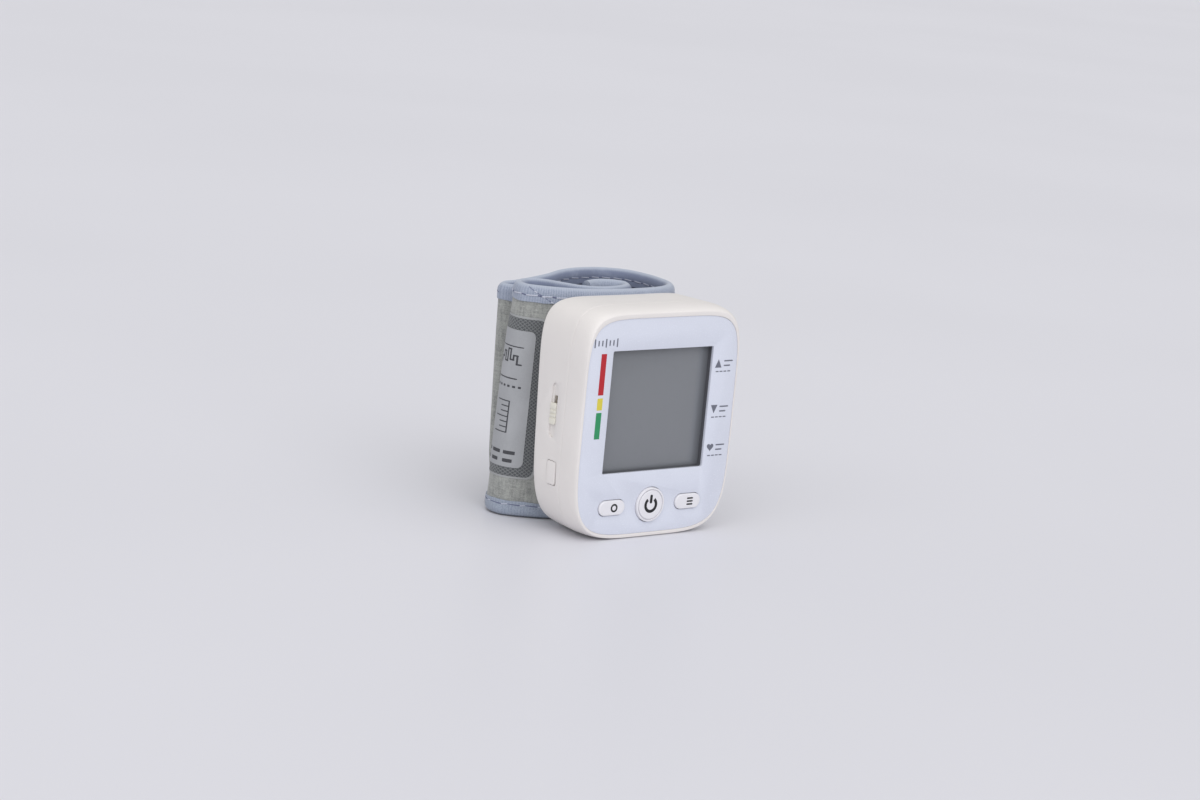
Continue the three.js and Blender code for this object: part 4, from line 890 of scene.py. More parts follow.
@dataclass
class BodySkin:
    """The outer skin of the housing, as the solids have it, with more steps."""

    centre_x: float
    front_y: float
    half_width: float
    height: float
    seam: float
    side_depth: float = 23.1 * MM
    middle_depth: float = 20.9 * MM
    back_lean: float = 3.6 * MM
    front_side_inset: float = 1.0 * MM
    front_top_inset: float = 1.9 * MM
    front_bottom_rise: float = 0.7 * MM
    rear_side_taper: float = 0.8 * MM
    rear_top_drop: float = 0.2 * MM
    rear_bottom_rise: float = 0.6 * MM
    base_cut: float = 0.3 * MM
    top_power: float = 6.75
    bottom_power: float = 4.7
    steps: int = 240

    def oval(self, half: float, bottom: float, top: float, powers: Pair) -> np.ndarray:
        """A squared oval about the body's middle line.

        Args:
            half: Its half width.
            bottom: Its lowest point.
            top: Its highest point.
            powers: How square it is above and below its middle.

        Returns:
            The outline in X and Z.
        """
        turns = np.arange(self.steps) * TAU / self.steps
        across, up = np.cos(turns), np.sin(turns)
        power = np.where(up < 0, 2 / powers[1], 2 / powers[0])
        middle, rise = (bottom + top) / 2, (top - bottom) / 2
        return np.column_stack([
            self.centre_x + half * signed_power(across, power), middle + rise * signed_power(up, power),
        ])

    def half_at(self, depth: float) -> float:
        """The half width at a depth behind the front rim."""
        return self.levels(depth)[0]

    def levels(self, depth: float) -> tuple[float, float, float]:
        """The body's measures at one depth.

        Args:
            depth: How far behind the front rim.

        Returns:
            The half width, lowest and highest level.
        """
        if depth < self.seam:
            share = 1 - math.sqrt(1 - ((self.seam - depth) / self.seam) ** 2)
            insets = (self.front_side_inset, self.front_bottom_rise, self.front_top_inset)
        else:
            share = (depth - self.seam) / (self.side_depth - self.seam)
            insets = (self.rear_side_taper, self.rear_bottom_rise, self.rear_top_drop)
        side, rise, drop = (inset * share for inset in insets)
        return self.half_width - side, rise - self.base_cut, self.height - drop

    def back(self, x: np.ndarray | float, z: np.ndarray | float) -> np.ndarray | float:
        """The y of the saddle-shaped, leaning back at a place.

        Args:
            x: Where it is across.
            z: How high it is.

        Returns:
            The y.
        """
        share = (np.asarray(x) - self.centre_x) / self.half_width
        saddle = self.middle_depth + (self.side_depth - self.middle_depth) * share ** 2
        return self.front_y + saddle + self.back_lean * (np.asarray(z) / self.height - 0.5)

    def ring(
        self, depth: float, inward: float = 0.0, shrink: float = 1.0,
        level: Callable[[np.ndarray, np.ndarray], np.ndarray] | None = None,
    ) -> np.ndarray:
        """One ring of the skin.

        Args:
            depth: Its depth behind the front rim.
            inward: How far inside the skin it runs.
            shrink: A factor about the middle, for the rings of a cap.
            level: Gives the y at an x and z, where the ring isn't flat.

        Returns:
            Its points.
        """
        half, bottom, top = self.levels(depth)
        flat = self.oval(half - inward, bottom + inward, top - inward, (self.top_power, self.bottom_power))
        flat[:, 1] = np.maximum(flat[:, 1], 0)
        middle = np.array([self.centre_x, self.height / 2])
        flat = middle + (flat - middle) * shrink
        y = level(flat[:, 0], flat[:, 1]) if level else np.full(len(flat), self.front_y + depth)
        return np.column_stack([flat[:, 0], y, flat[:, 1]])


@dataclass
class Housing:
    """The two halves of the housing, the battery door and the face panel.

    Sizes are a rounded outline's width, height and corner radius.
    """

    skin: BodySkin
    wall: float = 1.6 * MM
    front_wall: float = 0.9 * MM
    bed_depth: float = 1.2 * MM
    belt: float = 13.5 * MM
    rear_radius: float = 1.8 * MM
    seam_ease: float = 0.12 * MM
    face_side_inset: float = 1.45 * MM
    face_top_inset: float = 3.0 * MM
    face_bottom_inset: float = 1.4 * MM
    face_clearance: float = 0.06 * MM
    face_powers: Pair = (6.5, 4.9)
    window_step: float = 0.45 * MM
    button_clearance: float = 0.2 * MM
    screw_radius: float = 2.15 * MM
    screw_sink: float = 2.6 * MM
    post_radius: float = 2.6 * MM
    bay_wall: float = 0.8 * MM
    far: float = 6 * MM
    edge_ease: float = 0.12 * MM
    rear_ease: float = 0.1 * MM
    face_ease: float = 0.08 * MM
    window_corner: float = 0.5 * MM
    window_play: float = 0.05 * MM
    rounding_steps: int = 22
    rear_rounding_steps: int = 8
    front_inside_shrinks: tuple[float, ...] = (0.0, 0.5, 0.95)
    front_shrinks: tuple[float, ...] = (0.985, 0.5, 0.0)
    rear_inside_shrinks: tuple[float, ...] = (0.0, 0.35, 0.7, 0.92, 1.0)
    rear_shrinks: tuple[float, ...] = (0.97, 0.8, 0.55, 0.3, 0.0)
    rear_step: float = 9 * MM
    post_depth: float = 0.6 * MM
    outlet_radius: float = 2.25 * MM
    stud_radius: float = 1.75 * MM
    stud_heights: Pair = (32.5 * MM, 55.5 * MM)
    door_play: float = 0.25 * MM
    bay_side_gap: float = 0.6 * MM
    bay_gap: float = 0.45 * MM
    bay_bite: float = 0.2 * MM
    grooves: int = 4
    groove_pitch: float = 2.6 * MM
    groove_depth: float = 0.4 * MM
    groove_middle: float = 14.7 * MM
    groove: Sizes = (7 * MM, 1.2 * MM, 0.55 * MM)

    def face_outline(self, clearance: float) -> np.ndarray:
        """The panel's outline.

        Args:
            clearance: How much larger it is.

        Returns:
            Its points in X and Z.
        """
        skin = self.skin
        return skin.oval(
            skin.half_width - self.face_side_inset + clearance,
            self.face_bottom_inset - clearance,
            skin.height - self.face_top_inset + clearance,
            self.face_powers,
        )

    def window(self, margin: float) -> np.ndarray:
        """The window's outline in X and Z, larger by a margin all round."""
        x, z, width, height = window_place()
        return rounded_box(x, z, width + 2 * margin, height + 2 * margin, self.window_corner)

    def openings(self, name: str, low: float, high: float) -> list[Object]:
        """Cutters for the three buttons.

        Args:
            name: Their names' first part.
            low: The y where they start.
            high: The y where they end.

        Returns:
            The cutters.
        """
        cutters, clear = [], self.button_clearance
        for node in ("left_button", "power_button", "right_button"):
            x, z, width, height = button_place(node)
            outline = rounded_box(x, z, width + 2 * clear, height + 2 * clear, height / 2 + clear - HAIR)
            cutters.append(drawn_out(f"{name}_{node}", outline, low, high))
        return cutters

    def front_half(self, finish: Material) -> Object:
        """The front half, with the panel's bed, the window and the button holes.

        Args:
            finish: Its material.

        Returns:
            The object.
        """
        skin, wall = self.skin, self.wall
        inner = self.bed_depth + self.front_wall
        rings = [skin.ring(inner, wall, shrink) for shrink in self.front_inside_shrinks]
        rings += [skin.ring(depth, wall) for depth in (inner, (inner + skin.seam) / 2, skin.seam)]
        rings += [skin.ring(skin.seam, self.seam_ease)]
        for i in range(self.rounding_steps, -1, -1):
            turn = i / self.rounding_steps * math.pi / 2
            depth = skin.seam * (1 - math.cos(turn))
            rings.append(skin.ring(min(depth, skin.seam - self.seam_ease)))
        rings += [skin.ring(0.0, 0.0, shrink) for shrink in self.front_shrinks]
        shell = lofted("front_shell", rings, capped=False)
        low, bed_end, high = skin.front_y - self.far, skin.front_y + self.bed_depth, skin.front_y + inner + MM
        opening = self.window(self.window_step + self.window_play)
        cutters = [
            drawn_out("bed", self.face_outline(self.face_clearance), low, bed_end),
            drawn_out("opening", opening, low, high),
            *self.openings("hole", low, high),
        ]
        smoothed(eased(worked(shell, cutters, Cut.AWAY), self.edge_ease), SOLID_EDGE)
        return put(shell, finish, "monitor", ["front_housing"])

    def rear_rings(self) -> list[np.ndarray]:
        """The rear half's skin, ring by ring.

        Returns:
            The rings, from the middle of its inside to the middle of its back.
        """
        skin, wall, radius = self.skin, self.wall, self.rear_radius
        rings = [
            skin.ring(skin.side_depth, wall, shrink, lambda x, z: skin.back(x, z) - wall)
            for shrink in self.rear_inside_shrinks
        ]
        rings += [skin.ring(depth, wall) for depth in (self.belt, skin.seam)]
        rings += [skin.ring(skin.seam, self.seam_ease), skin.ring(skin.seam + self.seam_ease)]
        rings += [skin.ring(depth) for depth in (self.rear_step, self.belt)]
        for i in range(self.rear_rounding_steps + 1):
            turn = i / self.rear_rounding_steps * math.pi / 2
            up, inward = radius * (1 - math.sin(turn)), radius * (1 - math.cos(turn))
            rings.append(
                skin.ring(skin.side_depth - up, inward, 1.0, lambda x, z, up=up: skin.back(x, z) - up)
            )
        rings += [skin.ring(skin.side_depth, radius, shrink, skin.back) for shrink in self.rear_shrinks]
        return rings

    def screw_places(self) -> list[Pair]:
        """Where the four screws are, in X and Z."""
        middles = [middle_of(f"housing_screw_{number}") for number in range(1, 5)]
        return [(x, z) for x, _, z in middles]

    def door_region(self, name: str, gap: float) -> Object:
        """The block that parts the battery door from the rear half.

        Args:
            name: The cutter's name.
            gap: How far it stays inside the door's opening.

        Returns:
            The cutter.
        """
        low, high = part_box("battery_door")
        skin, shift = self.skin, gap - self.door_play
        right = skin.centre_x + skin.half_width + self.far
        near = (low.x + shift, low.y + shift, low.z + shift)
        return cuboid(name, near, (right, self.behind(), high.z - shift))

    def behind(self) -> float:
        """A y well behind the housing, where cutters end."""
        return self.skin.front_y + self.skin.side_depth + self.far

    @staticmethod
    def rod(name: str, place: Pair, radius: float, ends: Pair, sides: int = 40) -> Object:
        """A round bar along Y at a place in X and Z, between the y of its two ends."""
        start, end = ends
        return turned(name, [(0, start), (radius, start), (radius, end), (0, end)], *place, sides)

    def rear_half(self, finish: Material) -> Object:
        """The rear half, with its screw wells, door opening and side recesses.

        Args:
            finish: Its material.

        Returns:
            The object.
        """
        skin = self.skin
        shell = lofted("rear_shell", self.rear_rings(), capped=False)
        posts, cutters = [], []
        for number, place in enumerate(self.screw_places()):
            back = float(skin.back(*place))
            deep = back - self.screw_sink
            post_ends, well_ends = (deep - self.wall, back - self.post_depth), (deep, back + self.far)
            posts.append(self.rod(f"post_{number}", place, self.post_radius, post_ends))
            cutters.append(self.rod(f"well_{number}", place, self.screw_radius, well_ends, 48))
        worked(shell, posts, Cut.JOINED)
        for name, x, z, radius in self.back_holes():
            cutters.append(self.rod(name, (x, z), radius, (skin.front_y + self.belt, self.behind())))
        cutters += [self.door_region("door_opening", 0.0), *SideControls(skin).recesses()]
        worked(shell, cutters, Cut.AWAY)
        smoothed(eased(shell, self.rear_ease), SOLID_EDGE)
        return put(shell, finish, "monitor", ["rear_housing"])

    def back_holes(self) -> list[tuple[str, float, float, float]]:
        """The holes for the cuff's outlet and studs.

        Returns:
            Name, x, z and radius of each.
        """
        x, _, z = middle_of("outlet_bush")
        low, high = self.stud_heights
        return [
            ("outlet_hole", x, z, self.outlet_radius),
            ("low_stud_hole", x, low, self.stud_radius),
            ("high_stud_hole", x, high, self.stud_radius),
        ]

    def bay_walls(self, finish: Material) -> Object:
        """The walls of the battery bay, which show once the door is off.

        Args:
            finish: Its material.

        Returns:
            The object.
        """
        skin, thick = self.skin, self.bay_wall
        low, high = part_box("battery_door")
        left = low.x - self.door_play - self.bay_side_gap - thick
        floor, roof = low.z - self.bay_gap, high.z + self.bay_gap
        front, back = skin.front_y + skin.seam, self.behind()
        right = skin.centre_x + skin.half_width
        walls = cuboid("battery_bay_walls", (left, front, floor - thick), (left + thick, back, roof + thick))
        shelves = [
            cuboid("bay_floor", (left, front, floor - thick), (right, back, floor)),
            cuboid("bay_roof", (left, front, roof), (right, back, roof + thick)),
        ]
        worked(walls, shelves, Cut.JOINED)
        inside = self.wall - self.bay_bite
        limit = lofted("bay_limit", [
            skin.ring(skin.seam, inside),
            skin.ring(self.belt, inside),
            skin.ring(skin.side_depth, inside, 1.0, lambda x, z: skin.back(x, z) - inside),
        ])
        worked(walls, [limit], Cut.SHARED)
        smoothed(walls)
        return put(walls, finish, "monitor")

    def door(self, finish: Material) -> Object:
        """The battery door, with the ribs that a thumb pushes.

        Args:
            finish: Its material.

        Returns:
            The object.
        """
        cover = lofted("battery_door_cover", self.rear_rings(), capped=False)
        worked(cover, [self.door_region("door_limit", self.door_play)], Cut.SHARED)
        skin = self.skin
        side = skin.centre_x + skin.half_at(self.belt)
        middle = middle_of("battery_door")[2]
        y = skin.front_y + self.groove_middle
        grooves = []
        for number in range(self.grooves):
            z = middle + (number - (self.grooves - 1) / 2) * self.groove_pitch
            outline, ends = rounded_box(y, z, *self.groove), (side - self.groove_depth, side + self.far)
            grooves.append(drawn_out(f"groove_{number}", outline, *ends, Draw.SIDEWAYS))
        worked(cover, grooves, Cut.AWAY)
        smoothed(eased(cover, self.edge_ease), SOLID_EDGE)
        return put(cover, finish, "battery_door", ["battery_door"])

    def face(self, finish: Material) -> Object:
        """The pale blue panel.

        Args:
            finish: Its material.

        Returns:
            The object.
        """
        low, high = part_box("face_panel")
        panel = drawn_out("face_sheet", self.face_outline(0.0), low.y, high.y)
        cut_low, cut_high = low.y - self.far, high.y + self.far
        window = drawn_out("opening", self.window(0.0), cut_low, cut_high)
        worked(panel, [window, *self.openings("hole", cut_low, cut_high)], Cut.AWAY)
        smoothed(eased(panel, self.face_ease), SOLID_EDGE)
        return put(panel, finish, "monitor", ["face_panel"])


def window_place() -> Opening:
    """The window's middle x and z, width and height, from the glass behind it."""
    return opening_of("display_glass", GLASS_MARGIN)


def button_place(node: str) -> Opening:
    """A button's middle x and z, width and height, without the flange behind the panel."""
    return opening_of(node, BUTTON_FLANGE)


# Face


@dataclass
class Face:
    """The display, the printing and the buttons.

    Sizes are a rounded outline's width, height and corner radius. Steps are in millimetres.
    """

    pane_corner: float = 0.4 * MM
    pane_ease: float = 0.1 * MM
    collar: float = 0.78 * MM
    flange_depth: float = 0.7 * MM
    dome: Steps = ((0.0, 0.1), (1.5, 0.09), (3.0, 0.05))
    disc_rim: Steps = (
        (-0.3, 0.0), (-0.12, 0.03), (-0.03, 0.12), (0.0, 0.5), (0.16, 0.5), (0.19, 0.2), (0.28, 0.11),
    )
    shoulder: Steps = ((-0.22, 0.1), (-0.07, 0.17), (0.0, 0.36))
    round_sides: int = 128
    button_edge: float = 40.0
    oval_edge: float = 0.35 * MM
    oval_steps: int = 6
    oval_shares: tuple[float, ...] = (0.55, 0.3, 0.12)
    least_corner: float = 0.05 * MM
    ink_height: float = 0.03 * MM
    bar_shift: float = -22.97 * MM
    bar_width: float = 2.0 * MM
    bar_corner: float = 0.12 * MM
    bar_levels: Steps = ((5.61, 18.07), (1.05, 4.66), (-7.7, 0.29))
    legend_shift: float = 24.1 * MM
    legend_width: float = 7.0 * MM
    legend_levels: tuple[tuple[Mark, float], ...] = ((Mark.UP, 13.2), (Mark.DOWN, -1.0), (Mark.HEART, -13.0))
    mark_shift: float = 1.4 * MM
    mark_size: float = 2.6 * MM
    line_space: float = 3.4 * MM
    lines: Steps = ((-0.72, 2.5), (0.72, 3.4))
    line_height: float = 0.42 * MM
    line_corner: float = 0.18 * MM
    dashes: int = 4
    dash_drop: float = 2.5 * MM
    dash_pitch: float = 1.55 * MM
    dash: Sizes = (1.15 * MM, 0.34 * MM, 0.14 * MM)
    ticks: int = 7
    first_tick: float = -26.8 * MM
    tick_pitch: float = 1.4 * MM
    tick_level: float = 21.3 * MM
    long_tick: Sizes = (0.46 * MM, 2.6 * MM, 0.16 * MM)
    short_tick: Sizes = (0.46 * MM, 1.7 * MM, 0.16 * MM)

    def display(self) -> Object:
        """The grey display glass.

        Returns:
            The object.
        """
        low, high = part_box("display_glass")
        x, z, width, height = window_place()
        # The second colour is the painted shade at the window's edges.
        finish = DisplayFace(
            "display_grey", srgb(119, 122, 127), srgb(70, 71, 78), x, z, width / 2, height / 2,
        ).make()
        outline = rounded_box(x, z, high.x - low.x, high.z - low.z, self.pane_corner)
        glass = drawn_out("display_pane", outline, low.y, high.y)
        smoothed(eased(glass, self.pane_ease))
        return put(glass, finish, "monitor", ["display_glass"])

    def power_button(self, finish: Material) -> Object:
        """The round button: a raised disc on a sloping shoulder.

        Args:
            finish: Its material.

        Returns:
            The object.
        """
        x, z, width, _ = button_place("power_button")
        low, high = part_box("power_button")
        rim, flange_front = width / 2, high.y - self.flange_depth
        profile = [
            (base + step * MM, low.y + depth * MM)
            for base, steps in ((0.0, self.dome), (rim - self.collar, self.disc_rim), (rim, self.shoulder))
            for step, depth in steps
        ]
        wide = rim + BUTTON_FLANGE
        profile += [(rim, flange_front), (wide, flange_front), (wide, high.y), (0.0, high.y)]
        cap = smoothed(turned("power_button_cap", profile, x, z, self.round_sides), self.button_edge)
        return put(cap, finish, "power_button", ["power_button"])

    def oval_button(self, node: str, finish: Material) -> Object:
        """One oval button, flat in front, with a soft edge.

        Args:
            node: The node that it stands for, which is its body too.
            finish: Its material.

        Returns:
            The button.
        """
        x, z, width, height = button_place(node)
        low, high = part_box(node)
        edge, flange_front = self.oval_edge, high.y - self.flange_depth
        levels = [(-BUTTON_FLANGE, high.y), (-BUTTON_FLANGE, flange_front), (0.0, flange_front)]
        levels.append((0.0, low.y + edge))
        for step in range(1, self.oval_steps + 1):
            turn = step / self.oval_steps * math.pi / 2
            levels.append((edge * (1 - math.cos(turn)), low.y + edge * (1 - math.sin(turn))))
        levels += [(edge + (height / 2 - edge) * (1 - share), low.y) for share in self.oval_shares]
        rings = []
        for inset, y in levels:
            radius = max(height / 2 - inset, self.least_corner) - 0.1 * HAIR
            rings.append(ring_at(rounded_box(x, z, width - 2 * inset, height - 2 * inset, radius), y))
        cap = smoothed(lofted(f"{node}_cap", rings), self.button_edge)
        return put(cap, finish, node, [node])

    def printed(
        self, name: str, outline: np.ndarray, ink: Material, y: float, body: str,
    ) -> Object:
        """One printed shape, a hair's breadth proud of the surface at y that it is printed on."""
        shape = drawn_out(name, outline, y - self.ink_height, y + self.ink_height)
        return put(shape, ink, body)

    def colour_bars(self, inks: Sequence[Material]) -> None:
        """The three bars of the scale beside the display.

        Args:
            inks: Red, yellow and green, from the top.
        """
        x, z, _, _ = window_place()
        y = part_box("face_panel")[0].y
        for name, ink, (low, high) in zip(("red", "yellow", "green"), inks, self.bar_levels):
            middle, height = z + (low + high) / 2 * MM, (high - low) * MM
            outline = rounded_box(x + self.bar_shift, middle, self.bar_width, height, self.bar_corner)
            self.printed(f"scale_bar_{name}", outline, ink, y, "monitor")

    def marks(self, ink: Material, dark: Material) -> None:
        """The plain marks beside the display and on the buttons.

        Args:
            ink: The grey ink of the face.
            dark: The dark ink of the buttons.
        """
        x, z, _, _ = window_place()
        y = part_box("face_panel")[0].y
        for mark, level in self.legend_levels:
            for part, outline in enumerate(self.legend(mark, x + self.legend_shift, z + level * MM)):
                self.printed(f"print_{mark.name.lower()}_{part}", outline, ink, y, "monitor")
        for tick in range(self.ticks):
            place = x + self.first_tick + self.tick_pitch * tick
            size = self.short_tick if tick % 3 else self.long_tick
            outline = rounded_box(place, z + self.tick_level, *size)
            self.printed(f"print_tick_{tick}", outline, ink, y, "monitor")
        buttons = (
            ("power_button", Mark.POWER, 2.5 * MM, 0.0, 0.05 * MM),
            ("left_button", Mark.RING, 1.3 * MM, 0.7 * MM, 0.0),
            ("right_button", Mark.LIST, 1.3 * MM, 0.7 * MM, 0.0),
        )
        for node, mark, size, shift, sink in buttons:
            x, z, _, _ = button_place(node)
            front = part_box(node)[0].y + sink
            for part, outline in enumerate(mark_outlines(mark, x + shift, z, size)):
                self.printed(f"{node}_mark_{part}", outline, dark, front, node)

    def legend(self, mark: Mark, x: float, z: float) -> list[np.ndarray]:
        """A mark with two short lines beside it and a row of dashes below.

        Args:
            mark: Which mark.
            x: The legend's middle.
            z: The legend's middle.

        Returns:
            The outlines in X and Z.
        """
        half = self.legend_width / 2
        shapes = mark_outlines(mark, x - half + self.mark_shift, z, self.mark_size)
        for rise, length in self.lines:
            place = x + half - self.line_space + length * MM / 2
            shapes.append(rounded_box(place, z + rise * MM, length * MM, self.line_height, self.line_corner))
        for number in range(self.dashes):
            place = x + (number - (self.dashes - 1) / 2) * self.dash_pitch
            shapes.append(rounded_box(place, z - self.dash_drop, *self.dash))
        return shapes


def mark_outlines(mark: Mark, x: float, z: float, size: float) -> list[np.ndarray]:
    """The outlines that make up a plain mark.

    Args:
        mark: Which mark.
        x: Its middle.
        z: Its middle.
        size: Its height, or its radius where it is round.

    Returns:
        The outlines in X and Z.
    """
    half = size / 2
    if mark is Mark.UP:
        return [np.array([(x - half, z - half), (x + half, z - half), (x, z + half)])]
    if mark is Mark.DOWN:
        return [np.array([(x - half, z + half), (x, z - half), (x + half, z + half)])]
    if mark is Mark.HEART:
        turns = np.linspace(0, TAU, 49)[:-1]
        across = 16 * np.sin(turns) ** 3
        up = 13 * np.cos(turns) - 5 * np.cos(2 * turns) - 2 * np.cos(3 * turns) - np.cos(4 * turns)
        return [np.column_stack([x + across * size / 32, z + (up + 2) * size / 32])]
    if mark is Mark.LIST:
        levels = (z - 0.72 * size, z, z + 0.72 * size)
        return [rounded_box(x, level, 1.8 * size, 0.38 * size, 0.16 * size) for level in levels]
    thick = 0.37 * size if mark is Mark.POWER else 0.42 * size
    start, end = (1.42, 4.58) if mark is Mark.POWER else (0.0, 3.98)
    ring = np.array(arc(x, z, size, start, end, 40) + arc(x, z, size - thick, end, start, 40))
    if mark is Mark.RING:
        return [ring]
    return [ring, rounded_box(x, z + 0.72 * size, thick, 1.1 * size, thick / 2 - HAIR)]


# Side


@dataclass
class SideControls:
    """The slide switch's knob and the small cover on the left side, and the recesses that they sit in.

    Sizes are a rounded outline's width, height and corner radius.
    """

    skin: BodySkin
    knob_corner: float = 0.7 * MM
    knob_plate: float = 0.95 * MM
    knob_ease: float = 0.14 * MM
    post_bite: float = 0.1 * MM
    post_half: float = 0.7 * MM
    grip_pitch: float = 1.2 * MM
    grip_width: float = 0.45 * MM
    grip_corner: float = 0.2 * MM
    grip_depth: float = 0.25 * MM
    lid_corner: float = 0.8 * MM
    lid_ease: float = 0.28 * MM
    lid_ease_steps: int = 4
    outside: float = 4 * MM
    recess_rise: float = 4.3 * MM
    recess: Sizes = (3.2 * MM, 16.6 * MM, 1.599 * MM)
    recess_depth: float = 0.7 * MM
    slot_half: float = 0.9 * MM
    slot_depths: Pair = (0.2 * MM, 2.6 * MM)
    slot_rises: Pair = (2.05 * MM, 2.2 * MM)
    port_shift: float = -0.175 * MM
    port_width: float = 4.95 * MM
    port_play: float = 0.4 * MM
    port_depth: float = 1.3 * MM
    mouth: Sizes = (2.8 * MM, 6.6 * MM, 0.8 * MM)
    mouth_depth: float = 2.9 * MM

    def side(self, y: float) -> float:
        """The x of the housing's left side at a y."""
        return self.skin.centre_x - self.skin.half_at(y - self.skin.front_y)

    def recesses(self) -> list[Object]:
        """The side's openings.

        Returns:
            Cutters for the switch's recess and slot, the cover's recess and the mouth of the port.
        """
        out = self.skin.centre_x - self.skin.half_width - self.outside
        low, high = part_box("slide_switch_knob")
        y = (low.y + high.y) / 2
        side = self.side(y)
        recess = rounded_box(y, low.z + self.recess_rise, *self.recess)
        slot_low = (side + self.slot_depths[0], y - self.slot_half, low.z + self.slot_rises[0])
        slot_high = (side + self.slot_depths[1], y + self.slot_half, high.z + self.slot_rises[1])
        low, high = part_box("port_cover")
        _, y, z = middle_of("port_cover")
        port_side = self.side(y)
        lid = rounded_box(y + self.port_shift, z, self.port_width, high.z - low.z + self.port_play, MM)
        mouth = rounded_box(y, z, *self.mouth)
        return [
            drawn_out("switch_recess", recess, out, side + self.recess_depth, Draw.SIDEWAYS),
            cuboid("switch_slot", slot_low, slot_high),
            drawn_out("port_recess", lid, out, port_side + self.port_depth, Draw.SIDEWAYS),
            drawn_out("port_mouth", mouth, port_side + MM, port_side + self.mouth_depth, Draw.SIDEWAYS),
        ]

    def knob(self, finish: Material) -> Object:
        """The knob, with its grip grooves.

        Args:
            finish: Its material.

        Returns:
            The object.
        """
        low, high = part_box("slide_switch_knob")
        _, y, z = middle_of("slide_switch_knob")
        width, plate, half = high.y - low.y, low.x + self.knob_plate, self.post_half
        outline = rounded_box(y, z, width, high.z - low.z, self.knob_corner)
        knob = drawn_out("slide_knob", outline, low.x, plate, Draw.SIDEWAYS)
        post = cuboid("post", (plate - self.post_bite, y - half, z - MM), (high.x, y + half, z + MM))
        worked(knob, [post], Cut.JOINED)
        grooves = []
        for number in (-1, 0, 1):
            level = z + number * self.grip_pitch
            outline = rounded_box(y, level, width + MM, self.grip_width, self.grip_corner)
            ends = (low.x - MM, low.x + self.grip_depth)
            grooves.append(drawn_out(f"grip_{number}", outline, *ends, Draw.SIDEWAYS))
        worked(knob, grooves, Cut.AWAY)
        smoothed(eased(knob, self.knob_ease))
        return put(knob, finish, "slide_switch_knob", ["slide_switch_knob"])

    def cover(self, finish: Material) -> Object:
        """The small cover over the power socket.

        Args:
            finish: Its material.

        Returns:
            The object.
        """
        low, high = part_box("port_cover")
        _, y, z = middle_of("port_cover")
        outline = rounded_box(y, z, high.y - low.y, high.z - low.z, self.lid_corner)
        lid = drawn_out("socket_lid", outline, low.x, high.x, Draw.SIDEWAYS)
        smoothed(eased(lid, self.lid_ease, self.lid_ease_steps))
        return put(lid, finish, "port_cover", ["port_cover"])


# Cuff


@dataclass(frozen=True)
class Stitch:
    """One stitch, by the run and height of its two ends."""

    start: float
    start_z: float
    end: float
    end_z: float
    drawn_in: bool = False


